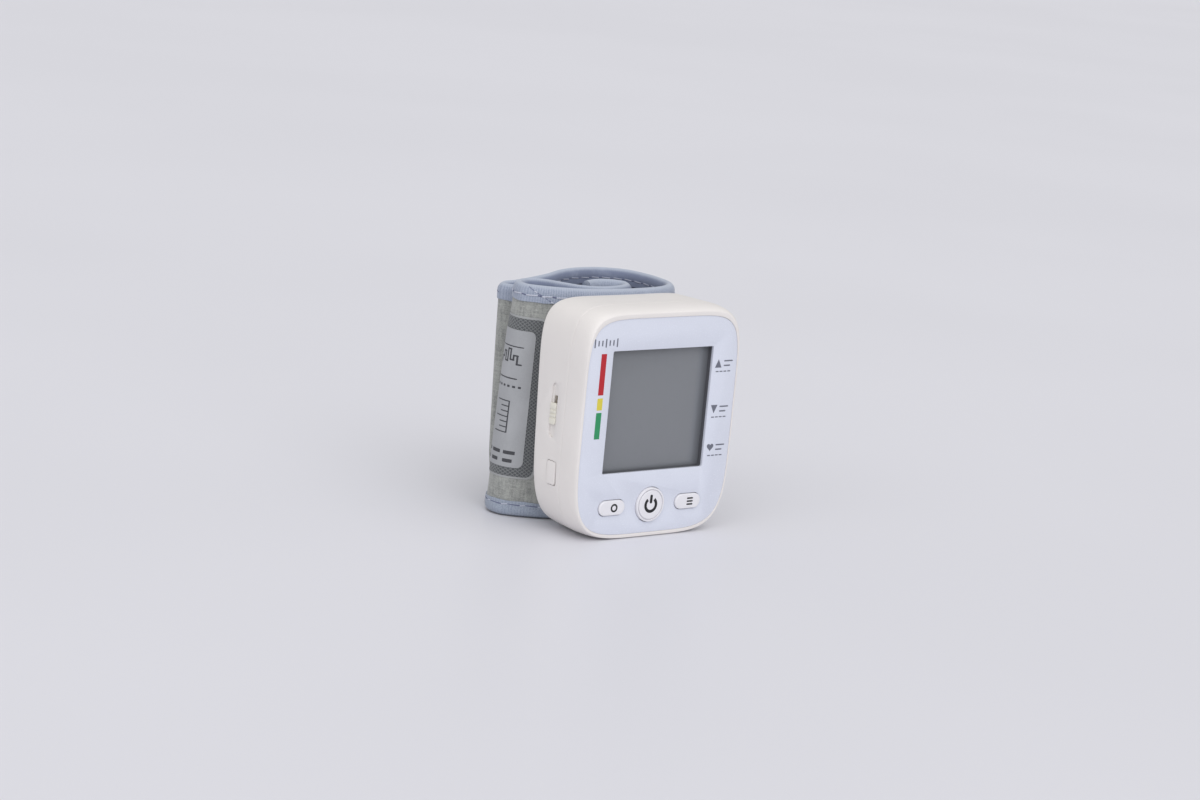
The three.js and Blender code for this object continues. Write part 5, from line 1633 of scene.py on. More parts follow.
@dataclass
class RolledCuff:
    """The cuff: a strip of two fabrics, bound at both edges and rolled up."""

    skin: BodySkin
    height: float = 71.4 * MM
    thickness: float = 2.7 * MM
    fabric: float = 0.6 * MM
    puff: float = 0.35 * MM
    tape: float = 0.35 * MM
    tape_gap: float = 0.1 * MM
    tape_height: float = 5 * MM
    fold: float = 2.4 * MM
    fold_point: float = 1.25
    cloth_inset: float = 1.1 * MM
    stitch_drop: float = 3.0 * MM
    low_stitch_rise: float = 3.9 * MM
    low_stitch_length: float = 1.3 * MM
    stitch_pitch: float = 4.2 * MM
    stitch_length: float = 3.0 * MM
    patch_step: float = 0.42 * MM
    roll_x: float = 3.8 * MM
    roll_front: float = 24.846 * MM
    roll_width: float = 55 * MM
    roll_depth: float = 34.4 * MM
    follow_share: float = 0.25
    tail_drop: float = 2.9 * MM
    tail_rise: float = 1.0 * MM
    tail_start: float = 0.8
    tail_tuck: float = 1.75 * MM
    tuck_start: float = 0.86
    tuck_height: float = 16 * MM
    stations: int = 480
    spline_steps: int = 40
    cloth_sink: float = 0.05 * MM
    cloth_end: float = 0.4 * MM
    cloth_rows: int = 26
    puff_share: float = 0.8
    crown_power: float = 0.7
    tape_ease: float = 0.02 * MM
    fold_steps: int = 17
    first_stitch: float = 1.5 * MM
    stitch_pinch: float = 0.16 * MM
    groove_half: float = 0.55 * MM
    stitch_slant: float = 0.1 * MM
    heavy_thread: float = 0.2 * MM
    light_thread: float = 0.15 * MM
    shown_thread: Pair = (0.14 * MM, 0.17 * MM)
    sunk_thread: Pair = (0.17 * MM, 0.05 * MM)
    # Share of painted shade on the stitches of the strip's inside.
    inside_painted_shade: float = 0.35
    seam_ends: Pair = (69 * MM, 76.5 * MM)
    seam_drop: float = 0.7 * MM
    seam_rise: float = 0.1 * MM
    seam_steps: int = 9
    seam_thread: float = 0.17 * MM
    hem_reach: float = 4.5 * MM
    hem_round: float = 1.4 * MM
    hem_over: float = 0.04 * MM
    hem_tip: float = 0.05 * MM
    bladder_ends: Pair = (0.409, 0.875)
    bladder_middle: float = -0.325 * MM
    bladder_half: float = 0.27 * MM
    bladder_margin: float = 7 * MM
    bladder_power: float = 0.3
    smooth_edge: float = 60.0
    shares: tuple[tuple[float, ...], ...] = (
        (-0.091, 0.407), (0.009, 0.459), (0.087, 0.424), (0.131, 0.331), (0.109, 0.233), (0.044, 0.163),
        (-0.045, 0.128), (-0.145, 0.14), (-0.225, 0.221), (-0.276, 0.372), (-0.324, 0.529), (-0.389, 0.599),
        (-0.458, 0.587, -0.048, 0.026), (-0.519, 0.494, -0.059, 0.015), (-0.527, 0.36, -0.059, -0.009),
        (-0.452, 0.221, -0.034, -0.023), (-0.327, 0.093), (-0.178, 0.023), (-0.015, 0.0), (0.133, 0.006),
        (0.255, 0.041), (0.345, 0.11), (0.411, 0.221), (0.44, 0.401), (0.444, 0.631), (0.407, 0.837),
        (0.287, 0.977), (0.145, 1.0), (0.0, 0.977), (-0.127, 0.913), (-0.359, 0.878, 0.047),
        (-0.431, 0.885, 0.047), (-0.466, 0.826, 0.047), (-0.43, 0.725, 0.047),
    )
    run: np.ndarray = field(init=False)
    length: float = field(init=False)

    def __post_init__(self) -> None:
        """Lays out the stations along the roll."""
        upper, lower = self._curve(0.0), self._curve(1.0)
        steps = np.linalg.norm(np.diff(upper, axis=0), axis=1)
        along = np.concatenate([[0.0], np.cumsum(steps)])
        self.length = float(along[-1])
        self.run = np.linspace(0, self.length, self.stations)
        self.top = self._sampled(upper, along)
        self.bottom = self._sampled(lower, along)
        self.out_top = self._outward(self.top)
        self.out_bottom = self._outward(self.bottom)
        share = np.clip((self.run / self.length - self.tail_start) / (1 - self.tail_start), 0, 1)
        ease = share * share * (3 - 2 * share)
        self.high = self.height - self.tail_drop * ease
        self.low = self.tail_rise * ease

    def _curve(self, lean: float) -> np.ndarray:
        """Points of the roll's path, as a centripetal spline through its shares.

        Args:
            lean: 0 for the upper edge and 1 for the lower.

        Returns:
            The points in X and Y.
        """
        skin = self.skin
        slope = skin.back_lean / skin.height * self.height
        knots = []
        for row in self.shares:
            across, back, lean_x, lean_y = (*row, 0.0, 0.0)[:4]
            follow = max(0.0, 1 - back / self.follow_share)
            x = skin.centre_x + self.roll_x + self.roll_width * (across + lean * lean_x)
            y = skin.front_y + self.roll_front + self.roll_depth * (back + lean * lean_y)
            knots.append((x, y - lean * follow * slope))
        knots = np.array(knots)
        padded = np.vstack([2 * knots[0] - knots[1], knots, 2 * knots[-1] - knots[-2]])
        gaps = np.sqrt(np.linalg.norm(np.diff(padded, axis=0), axis=1))
        points = []
        for i in range(1, len(padded) - 2):
            p0, p1, p2, p3 = padded[i - 1:i + 3]
            d0, d1, d2 = gaps[i - 1:i + 2]
            leave = ((p1 - p0) / d0 - (p2 - p0) / (d0 + d1) + (p2 - p1) / d1) * d1
            arrive = ((p2 - p1) / d1 - (p3 - p1) / (d1 + d2) + (p3 - p2) / d2) * d1
            for t in np.arange(self.spline_steps) / self.spline_steps:
                square, cube = t * t, t * t * t
                points.append(
                    p1 * (2 * cube - 3 * square + 1) + leave * (cube - 2 * square + t)
                    + p2 * (3 * square - 2 * cube) + arrive * (cube - square)
                )
        points.append(padded[-2])
        return np.array(points)

    def _sampled(self, points: np.ndarray, along: np.ndarray) -> np.ndarray:
        """The path's points at the stations."""
        return np.column_stack([np.interp(self.run, along, points[:, axis]) for axis in (0, 1)])

    @staticmethod
    def _outward(points: np.ndarray) -> np.ndarray:
        """The way that the strip's outside looks.

        Args:
            points: The stations' places in X and Y.

        Returns:
            One direction per station.
        """
        way = np.gradient(points, axis=0)
        way /= np.linalg.norm(way, axis=1)[:, None]
        return np.column_stack([way[:, 1], -way[:, 0]])

    def stations_between(self, start: float, end: float) -> np.ndarray:
        """The numbers of the stations between two distances along the strip."""
        return np.where((self.run >= start - 1e-9) & (self.run <= end + 1e-9))[0]

    def at(self, runs: np.ndarray, values: np.ndarray) -> np.ndarray:
        """What the stations hold, read between them.

        Args:
            runs: Distances along the strip.
            values: What each station holds.

        Returns:
            One number or row per distance.
        """
        if values.ndim == 1:
            return np.interp(runs, self.run, values)
        return np.column_stack([np.interp(runs, self.run, column) for column in values.T])

    def points_at(self, runs: np.ndarray, offset: np.ndarray | float, z: np.ndarray) -> np.ndarray:
        """Points of the strip.

        Args:
            runs: Distances along the strip, one per point.
            offset: How far outwards each point lies from the strip's middle.
            z: The height of each point.

        Returns:
            The points.
        """
        low, high = self.at(runs, self.low), self.at(runs, self.high)
        rise = ((z - low) / (high - low))[:, None]
        flat = self.at(runs, self.bottom) * (1 - rise) + self.at(runs, self.top) * rise
        out = self.at(runs, self.out_bottom) * (1 - rise) + self.at(runs, self.out_top) * rise
        near_end = np.clip((runs / self.length - self.tuck_start) / (1 - self.tuck_start), 0, 1)
        near_foot = np.clip(1 - z / self.tuck_height, 0, 1)
        tuck = self.tail_tuck * near_end * near_foot ** 2 * (3 - 2 * near_foot)
        flat = flat + out * (np.broadcast_to(np.asarray(offset), len(runs)) - tuck)[:, None]
        return np.column_stack([flat, z])

    def strip(self, name: str, start: float, end: float, section: Callable[[np.ndarray], Section]) -> Object:
        """A closed strip of one section, drawn along the roll.

        Args:
            name: The object's name.
            start: Where it starts along the roll.
            end: Where it ends.
            section: Gives, for station numbers, the section's offsets and heights, point by point.

        Returns:
            The object.
        """
        numbers = self.stations_between(start, end)
        columns = [self.points_at(self.run[numbers], offset, z) for offset, z in section(numbers)]
        rings, count = np.stack(columns, axis=1), len(columns)
        faces = band_faces(len(numbers), count) + cap_faces(len(numbers), count)
        piece = smoothed(add_piece(name, rings.reshape(-1, 3), faces), self.smooth_edge)
        return carry(piece, "run", np.repeat(self.run[numbers], count))

    def cloth_offset(self, runs: np.ndarray, share: float, base: float, puffed: float) -> np.ndarray:
        """Where a face of the fabric lies, with its puff and its soft, uneven waves.

        Args:
            runs: Distances along the strip.
            share: The height, as a share of the fabric's own.
            base: The offset at its edges.
            puffed: How far it stands out at mid height.

        Returns:
            The offsets.
        """
        crown = math.sin(math.pi * min(max(share, 0.0), 1.0)) ** self.crown_power
        run = runs / MM
        wave = 0.05 * np.sin(run / 2.9 + 3 * share) + 0.06 * np.sin(run / 6.1 - 5 * share + 1)
        return base + puffed * crown + wave * crown * MM

    def fabric_sheet(self, name: str, side: int) -> Object:
        """One of the two fabrics.

        Args:
            name: The object's name.
            side: 1 for the outer fabric and -1 for the inner.

        Returns:
            The object.
        """
        outer = self.thickness / 2 - self.cloth_sink
        inner = outer - self.fabric + self.cloth_sink
        puff = self.puff * self.puff_share if side > 0 else 0.0
        rows = np.linspace(0, 1, self.cloth_rows)
        steps = [(share, outer, puff) for share in rows]
        steps += [(share, inner, puff * self.puff_share) for share in rows[::-1]]

        def section(numbers: np.ndarray) -> Section:
            """The section, up the outside and down the inside.

            Args:
                numbers: The stations' numbers.

            Returns:
                Offsets and levels, one pair per point of the section.
            """
            low, high = self.low[numbers] + self.cloth_inset, self.high[numbers] - self.cloth_inset
            return [
                (side * self.cloth_offset(self.run[numbers], share, base, puffed), low + (high - low) * share)
                for share, base, puffed in steps
            ]

        return self.strip(name, self.cloth_end, self.length - self.cloth_end, section)

    def binding(self, name: str, upper: bool) -> Object:
        """The tape that is folded over one edge.

        Args:
            name: The object's name.
            upper: Whether it is the upper edge's.

        Returns:
            The object.
        """
        reach = self.thickness / 2 + self.tape_gap
        outer, near = reach + self.tape, self.groove_half
        groove = self.stitch_drop if upper else self.low_stitch_rise

        def section(numbers: np.ndarray) -> Section:
            """The folded section, round the outside and back round the inside.

            Args:
                numbers: The stations' numbers.

            Returns:
                Offsets and levels, one pair per point of the section.
            """
            edge = self.high[numbers] if upper else self.low[numbers]
            run, ones = self.run[numbers] / MM, np.ones(len(numbers))
            ruffle = 0.1 * np.sin(run / 1.15) + 0.09 * np.sin(run / 2.7 + 1)
            hem = self.tape_height + ruffle * MM
            swing = np.sin(np.pi * (run - self.first_stitch / MM) / (self.stitch_pitch / MM))
            pinched = outer - self.stitch_pinch * (1 - 0.5 * swing ** 2)
            eased_outer = ones * (outer - self.tape_ease)
            drops = [(-eased_outer, hem), (-ones * outer, groove + near), (-pinched, groove)]
            drops.append((-ones * outer, groove - near))
            for turn in np.linspace(0, math.pi, self.fold_steps):
                wide = signed_power(math.cos(turn), self.fold_point)
                drops.append((-ones * outer * wide, self.fold * (1 - math.sin(turn))))
            drops += [(ones * outer, groove - near), (pinched, groove), (ones * outer, groove + near)]
            drops += [(eased_outer, hem), (ones * reach, hem)]
            drops += [(ones * reach, self.fold), (-ones * reach, self.fold), (-ones * reach, hem)]
            return [(offset, edge - drop if upper else edge + drop) for offset, drop in drops]

        tape = self.strip(name, 0.0, self.length, section)
        first = section(np.array([0, 1]))
        edge = self.high[0] if upper else self.low[0]
        stations = len(tape.data.vertices) // len(first)
        # The tape's distance from its fold and which face is inner, for its material's painted band and
        # painted shade.
        carry(tape, "drop", np.tile([abs(z[0] - edge) for _, z in first], stations))
        return carry(tape, "inside", np.tile([float(offset[0] < 0) for offset, _ in first], stations))

    def end_hem(self, name: str, tail: bool) -> Object:
        """The turned-in hem at one end of the strip.

        Args:
            name: The object's name.
            tail: Whether it is at the outer end.

        Returns:
            The object.
        """
        half = self.thickness / 2 + self.hem_over
        start, end = (self.length - self.hem_reach, self.length) if tail else (0.0, self.hem_reach)
        tip = end if tail else start

        def section(numbers: np.ndarray) -> Section:
            """The hem's section, rounded off towards the tip.

            Args:
                numbers: The stations' numbers.

            Returns:
                Offsets and levels, one pair per point of the section.
            """
            away = np.clip(np.abs(self.run[numbers] - tip) / self.hem_round, 0, 1)
            width = half * np.sqrt(1 - (1 - away) ** 2) + self.hem_tip
            low, high = self.low[numbers] + self.cloth_inset, self.high[numbers] - self.cloth_inset
            return [(-width, low), (width, low), (width, high), (-width, high)]

        return self.strip(name, start, end, section)

    def bladder(self, name: str) -> Object:
        """The air bladder between the fabrics, with soft welded edges.

        Args:
            name: The object's name.

        Returns:
            The object.
        """
        margin = self.bladder_margin

        def section(numbers: np.ndarray) -> Section:
            """A flat lens.

            Args:
                numbers: The stations' numbers.

            Returns:
                Offsets and levels, one pair per point of the section.
            """
            ones, points = np.ones(len(numbers)), []
            for turn in np.linspace(0, TAU, 25)[:-1]:
                offset = self.bladder_middle + self.bladder_half * math.sin(turn)
                share = (1 - signed_power(math.cos(turn), self.bladder_power)) / 2
                points.append((ones * offset, ones * (margin + (self.height - 2 * margin) * share)))
            return points

        start, end = (share * self.length for share in self.bladder_ends)
        return self.strip(name, start, end, section)

    def patch(self, name: str, ends: Pair, levels: Pair, lift: float, thick: float, corner: float) -> Object:
        """A sewn-on patch with round corners that follows the outer fabric.

        Args:
            name: The object's name.
            ends: Where it starts and ends along the roll.
            levels: Its lower and upper edge.
            lift: How far it lies off the fabric.
            thick: Its thickness.
            corner: The corners' radius.

        Returns:
            The object.
        """
        (start, end), (low, high) = ends, levels
        runs = np.linspace(start, end, max(3, round((end - start) / self.patch_step) + 1))
        rows = max(3, round((high - low) / (2 * MM)) + 1)
        near = np.minimum(runs - start, end - runs)
        cut = corner - np.sqrt(np.maximum(corner ** 2 - np.maximum(corner - near, 0) ** 2, 0))
        outer_columns, inner_columns = [], []
        for share in np.linspace(0, 1, rows):
            z = low + cut + (high - low - 2 * cut) * share
            cloth_share, cloth = float(np.mean(z) / self.height), self.thickness / 2 - self.cloth_sink
            base = self.cloth_offset(runs, cloth_share, cloth, self.puff * self.puff_share)
            outer_columns.append(self.points_at(runs, base + lift + thick, z))
            inner_columns.append(self.points_at(runs, base + lift, z))
        rings, count = np.stack(outer_columns + inner_columns[::-1], axis=1), 2 * rows
        faces = band_faces(len(runs), count)
        for ring in (0, (len(runs) - 1) * count):
            for i in range(rows - 1):
                faces.append((ring + i, ring + i + 1, ring + count - 2 - i, ring + count - 1 - i))
        piece = add_piece(name, rings.reshape(-1, 3), faces)
        return carry(piece, "run", np.repeat(runs, count))

    def tape_face(self, runs: np.ndarray, heights: np.ndarray) -> np.ndarray:
        """How far out a tape's face lies, drawn in where the tape folds over its edge.

        Args:
            runs: Distances along the strip.
            heights: The height at each of them.

        Returns:
            The offsets from the strip's middle.
        """
        drops = np.minimum(self.at(runs, self.high) - heights, heights - self.at(runs, self.low))
        share = np.clip(1 - drops / self.fold, 0, 1)
        return (self.thickness / 2 + self.tape_gap + self.tape) * (1 - share ** 2) ** (self.fold_point / 2)

    def stitches(self, name: str, places: Sequence[Stitch], side: int, radius: float) -> Object:
        """A row of stitches, each a thread that dips in at both ends.

        Args:
            name: The object's name.
            places: The stitches.
            side: 1 on the outside of the strip and -1 on its inside.
            radius: The thread's radius.

        Returns:
            The object, which carries on its points its share of painted shade: full where the thread is drawn
            in, a part of it on the inside.
        """
        ring_count, sides = 7, 8
        shares = np.linspace(0, 1, ring_count)
        turns = np.arange(sides) * TAU / sides
        points, faces, painted_shade_shares = [], [], []
        for stitch in places:
            first = len(points)
            sunk, crest = self.sunk_thread if stitch.drawn_in else self.shown_thread
            runs = stitch.start + (stitch.end - stitch.start) * shares
            heights = stitch.start_z + (stitch.end_z - stitch.start_z) * shares
            lifts = self.tape_face(runs, heights) - sunk + crest * np.sin(np.pi * shares) ** 0.5
            middle = self.points_at(runs, side * lifts, heights)
            tangent = (middle[-1] - middle[0]) / np.linalg.norm(middle[-1] - middle[0])
            for centre, outward in zip(middle, self.at(runs, self.out_top)):
                out = np.array([*outward, 0.0]) * side
                across = np.cross(tangent, out)
                points += [centre + radius * (math.cos(t) * out + math.sin(t) * across) for t in turns]
            # Painted shade: full on drawn-in stitches, a share of it on the inside rows.
            painted_shade_shares += [1.0 if stitch.drawn_in else self.inside_painted_shade * (side < 0)] * (ring_count * sides)
            tube = band_faces(ring_count, sides) + cap_faces(ring_count, sides)
            faces += [tuple(first + i for i in face) for face in tube]
        threads = carry(add_piece(name, np.array(points), faces), "drawn_in", np.array(painted_shade_shares))
        return smoothed(threads, self.smooth_edge)

    def edge_stitches(self, name: str, upper: bool, side: int) -> Object:
        """The stitch line along one tape.

        Args:
            name: The object's name.
            upper: Whether it is the upper tape's.
            side: 1 on the outside and -1 on the inside.

        Returns:
            The object.
        """
        pitch, slant = self.stitch_pitch, self.stitch_slant
        length = self.stitch_length if upper else self.low_stitch_length
        places = []
        for number in range(int((self.length - 2 * self.first_stitch) / pitch)):
            run = self.first_stitch + number * pitch
            station = int(run / self.length * (self.stations - 1))
            z = self.high[station] - self.stitch_drop if upper else self.low[station] + self.low_stitch_rise
            places.append(Stitch(run, z - slant, run + length, z + slant))
            places.append(Stitch(run + length, z + slant, run + pitch, z - slant, drawn_in=True))
        radius = self.heavy_thread if upper and side > 0 else self.light_thread
        return self.stitches(name, places, side, radius)

    def seam_stitches(self, name: str) -> Object:
        """The slanting seam where the ends of the upper tape meet.

        Args:
            name: The object's name.

        Returns:
            The object.
        """
        start, end = self.seam_ends
        top, low = self.height - self.seam_drop, self.height - self.tape_height + self.seam_rise
        places = []
        for number in range(self.seam_steps):
            shares = (number / self.seam_steps, (number + 0.97) / self.seam_steps)
            (run, z), (next_run, next_z) = (
                (start + (end - start) * share, top + (low - top) * share) for share in shares
            )
            places.append(Stitch(run, z, next_run, next_z, drawn_in=number % 3 != 2))
        return self.stitches(name, places, 1, self.seam_thread)


@dataclass
class CuffFinishes:
    """The cuff's materials."""

    loop: Material
    lining: Material
    tape: Material
    low_tape: Material
    thread: Material
    bladder: Material
    mesh: Material
    outline: Material
    satin: Material
    ink: Material


def dress_cuff(cuff: RolledCuff, finishes: CuffFinishes) -> None:
    """Builds and dresses every piece of the cuff.

    Args:
        cuff: The cuff's sizes and stations.
        finishes: Its materials.
    """
    outer, lining = cuff.fabric_sheet("cuff_outer_cloth", 1), cuff.fabric_sheet("cuff_lining", -1)
    put(outer, finishes.loop, "monitor", ["cuff_outer_fabric"])
    put(lining, finishes.lining, "monitor", ["cuff_inner_fabric"])
    for name, upper, node in (("upper", True, "cuff_top_binding"), ("lower", False, "cuff_bottom_binding")):
        weave = finishes.tape if upper else finishes.low_tape
        put(cuff.binding(f"{name}_tape", upper), weave, "monitor", [node])
        for side, word in ((1, "outside"), (-1, "inside")):
            row = cuff.edge_stitches(f"{name}_stitches_{word}", upper, side)
            put(row, finishes.thread, "monitor")
    seam = cuff.seam_stitches("tape_seam_stitches")
    put(seam, finishes.thread, "monitor")
    for name, tail in (("inner_end_hem", False), ("tail_hem", True)):
        put(cuff.end_hem(name, tail), finishes.loop, "monitor")
    put(cuff.bladder("bladder_skin"), finishes.bladder, "monitor", ["air_bladder"])
    patches = SewnLabel(cuff).make(finishes)
    flat = (cuff.height - 2 * (cuff.tape + cuff.tape_gap), cuff.length - 2 * cuff.cloth_end)


@dataclass
class SewnLabel:
    """The mesh field and the satin label on the left bulge, with plain printing.

    Sizes are how far a patch lies off the fabric, its thickness and its corner radius.
    """

    cuff: RolledCuff
    field_ends: Pair = (57.4 * MM, 75.75 * MM)
    field_levels: Pair = (12 * MM, 61.6 * MM)
    edge_width: float = 0.6 * MM
    label_ends: Pair = (59.7 * MM, 72.5 * MM)
    label_levels: Pair = (15.3 * MM, 57.3 * MM)
    rim: Sizes = (0.04 * MM, 0.12 * MM, 2.4 * MM)
    mesh: Sizes = (0.06 * MM, 0.22 * MM, 2.1 * MM)
    label: Sizes = (0.22 * MM, 0.2 * MM, 1.6 * MM)
    printing: Sizes = (0.41 * MM, 0.03 * MM, 0.05 * MM)
    smooth_edge: float = 50.0

    def make(self, finishes: CuffFinishes) -> list[Object]:
        """Builds and dresses the field, the label and its printing.

        Args:
            finishes: The cuff's materials.

        Returns:
            The pieces.
        """
        patch, edge = self.cuff.patch, self.edge_width
        (start, end), (low, high) = self.field_ends, self.field_levels
        inner = (start + edge, end - edge), (low + edge, high - edge)
        rim = patch("mesh_field_edge", self.field_ends, self.field_levels, *self.rim)
        mesh = patch("mesh_field", *inner, *self.mesh)
        label = patch("satin_label", self.label_ends, self.label_levels, *self.label)
        made = []
        for piece, finish, slot, nodes in (
            (rim, finishes.outline, "mesh_fabric", []),
            (mesh, finishes.mesh, "mesh_fabric", ["cuff_mesh_field"]),
            (label, finishes.satin, "satin_label", ["cuff_label"]),
        ):
            made.append(put(smoothed(piece, self.smooth_edge), finish, "monitor", nodes))
        for name, *sides in label_marks():
            start, end, low, high = (side * MM for side in sides)
            bar = patch(name, (start, end), (low, high), *self.printing)
            made.append(put(bar, finishes.ink, "monitor"))
        return made


def label_marks() -> list[tuple[str, float, float, float, float]]:
    """The label's plain marks.

    Returns:
        Name, start and end along the roll, and low and high edges, in millimetres.
    """
    marks = [("label_rule_high", 63.0, 69.8, 52.0, 52.35), ("label_rule_low", 62.5, 69.0, 42.2, 42.6)]
    marks += [(f"label_dot_{i}", 61.6 + 1.3 * i, 62.3 + 1.3 * i, 39.6, 40.3) for i in range(7)]
    steps = (0.0, 1.6, 3.4, 0.6, 4.4, 1.2, 2.6, 0.0)
    for i, (a, b) in enumerate(zip(steps, steps[1:])):
        place = 62.9 + 0.9 * i
        marks.append((f"label_wave_rise_{i}", place, place + 0.45, 46.6 + min(a, b), 47.1 + max(a, b)))
        marks.append((f"label_wave_step_{i}", place, place + 1.4, 46.6 + b, 47.1 + b))
    for i in range(7):
        reach = 4.0 if i % 3 == 0 else 2.4
        marks.append((f"label_scale_{i}", 68.0 - reach, 68.0, 25.6 + 1.6 * i, 25.95 + 1.6 * i))
    marks.append(("label_scale_stem", 67.75, 68.05, 25.6, 35.55))
    for row, low in enumerate((19.2, 16.7)):
        for i, (begin, end) in enumerate(((61.8, 63.4), (64.2, 67.0), (67.8, 70.4))):
            marks.append((f"label_block_{row}_{i}", begin, end - 0.5 * row, low, low + 1.1))
    return marks


# Studio and camera


@dataclass
class PhotoCamera:
    """The photograph's camera, as solved from the display's corners and the body's outline."""

    azimuth: float = -40.61
    elevation: float = 11.49
    roll: float = 5.68
    distance: float = 0.959
    focal_pixels: float = 3200.0
    frame_pixels: Pair = (1200.0, 800.0)
    window_pixel: Pair = (658.9, 409.9)
    sensor: float = 36.0

    def make(self, skin: BodySkin) -> Object:
        """Places the camera so that the window's middle falls on its pixel.

        Args:
            skin: The housing's skin, whose front plane the window lies in.

        Returns:
            The camera.
        """
        x, z, _, _ = window_place()
        target = Vector((x, skin.front_y, z))
        a, e, roll = (math.radians(v) for v in (self.azimuth, self.elevation, self.roll))
        back = Vector((math.sin(a) * math.cos(e), -math.cos(a) * math.cos(e), math.sin(e)))
        right = Vector((math.cos(a), math.sin(a), 0))
        up = back.cross(right)
        turned_right = math.cos(roll) * right + math.sin(roll) * up
        turned_up = -math.sin(roll) * right + math.cos(roll) * up
        data = bpy.data.cameras.new("photo_camera")
        width, height = self.frame_pixels
        data.sensor_width = self.sensor
        data.lens = self.focal_pixels / width * self.sensor
        data.shift_x = (width / 2 - self.window_pixel[0]) / width
        data.shift_y = (self.window_pixel[1] - height / 2) / width
        data.clip_start, data.clip_end = 0.05, 60.0
        camera = bpy.data.objects.new("photo_camera", data)
        bpy.context.scene.collection.objects.link(camera)
        place = Matrix((turned_right, turned_up, back)).transposed().to_4x4()
        place.translation = target + back * self.distance
        camera.matrix_world = place
        bpy.context.scene.camera = camera
        log.info("camera at %s", tuple(round(v, 3) for v in place.translation))
        return camera


@dataclass
class Studio:
    """A pale floor, soft lamps far off and an even pale world."""

    floor_colour: Colour = field(default_factory=lambda: srgb(222, 222, 229))
    world_colour: Colour = field(default_factory=lambda: srgb(254, 254, 255))
    world_strength: float = 0.56
    floor_size: float = 12.0

    def floor(self) -> Object:
        """The floor, slightly glossy like a white table top.

        Returns:
            The object.
        """
        half = self.floor_size / 2
        points = np.array([(-half, -half, 0), (half, -half, 0), (half, half, 0), (-half, half, 0)])
        floor = add_piece("floor", points, [(0, 1, 2, 3)])
        sheet = Sheet("pale_table")
        cloud = sheet.noise(3.0, 2.0)
        shade = tinted(self.floor_colour, 0.975)
        dressed(floor, sheet.surface(
            Base_Color=sheet.blend(cloud.ramp(0.3, 0.7), self.floor_colour, shade),
            Roughness=0.42 + cloud * 0.05,
            Specular_IOR_Level=0.35,
        ))
        return floor

    def world(self) -> None:
        """The even light from all round."""
        world = bpy.data.worlds.new("pale_world")
        world.use_nodes = True
        background = world.node_tree.nodes["Background"]
        background.inputs["Color"].default_value = (*self.world_colour, 1.0)
        background.inputs["Strength"].default_value = self.world_strength
        bpy.context.scene.world = world

    def lamp(self, name: str, side: Place, spread: float, strength: float, colour: Colour) -> None:
        """One broad lamp, so far off that it lights the object and the whole floor alike.

        Args:
            name: The lamp's name.
            side: The side that it shines from.
            spread: How wide it looks from the object, in degrees.
            strength: Its strength.
            colour: Its colour.
        """
        data = bpy.data.lights.new(name, "SUN")
        data.angle = math.radians(spread)
        data.energy = strength
        data.color = colour
        lamp = bpy.data.objects.new(name, data)
        bpy.context.scene.collection.objects.link(lamp)
        lamp.rotation_euler = Vector(side).to_track_quat("Z", "Y").to_euler()

    def light(self) -> None:
        """Hangs the lamps: one overhead, one over the front and a weaker one at the left side."""
        self.lamp("overhead_softbox", (0.0, -0.4, 1.0), 75.0, 0.86, (1.0, 0.995, 0.985))
        self.lamp("front_softbox", (-0.2, -1.0, 0.6), 50.0, 0.74, (0.99, 0.99, 1.0))
        self.lamp("side_softbox", (-1.0, -0.3, 0.5), 50.0, 0.56, (1.0, 0.995, 0.985))


def dress_inside(frame: dict) -> None:
    """Gives every node that stays its own worked finish.
    """
    board = SolderMask("board_green", srgb(24, 104, 66), srgb(70, 140, 84)).make()
    black = MouldedPlastic("component_black", srgb(30, 30, 32), 0.5).make()
    dark = MouldedPlastic("frame_dark", srgb(88, 89, 95), 0.55).make()
    # Partly the switch body's own beige, lifted paler as painted light for the deep slot that it shows
    # through.
    beige = MouldedPlastic("switch_beige", srgb(238, 226, 198), 0.5).make()
    metal = WorkedMetal("plated_steel", srgb(200, 201, 203)).make()
    spring = WorkedMetal("spring_plate", srgb(214, 212, 204), 0.26).make()
    jacket = WorkedMetal("cell_sleeve", srgb(70, 96, 128), 0.34).make()
    natural = MouldedPlastic("natural_plastic", srgb(238, 238, 234), 0.45).make()
    silicone = SoftRubber("clear_silicone", srgb(232, 230, 222), 0.5).make()
    finishes = {
        "main_board": board, "processor_chip": black, "buzzer": black, "pump_head": black,
        "power_push_switch": black, "left_push_switch": black, "right_push_switch": black,
        "pressure_sensor": black, "display_contact_strip": black, "display_frame": dark,
        "slide_switch_body": beige, "power_socket": metal, "pump_motor": metal, "air_valve": metal,
        "battery_contact_near": spring, "battery_contact_far": spring, "battery_link_plate": spring,
        "battery_cell_near": jacket, "battery_cell_far": jacket, "air_manifold": natural,
        "curler_sheet": natural, "air_tube_pump": silicone, "air_tube_valve": silicone,
        "air_tube_sensor": silicone, "outlet_bush": silicone,
        **{f"housing_screw_{number}": metal for number in range(1, 5)},
    }
    for node, finish in finishes.items():
        dressed(frame["nodes"][node], finish)
        smoothed(frame["nodes"][node], 35)
        log.info("node %s wears %s", node, finish.name)


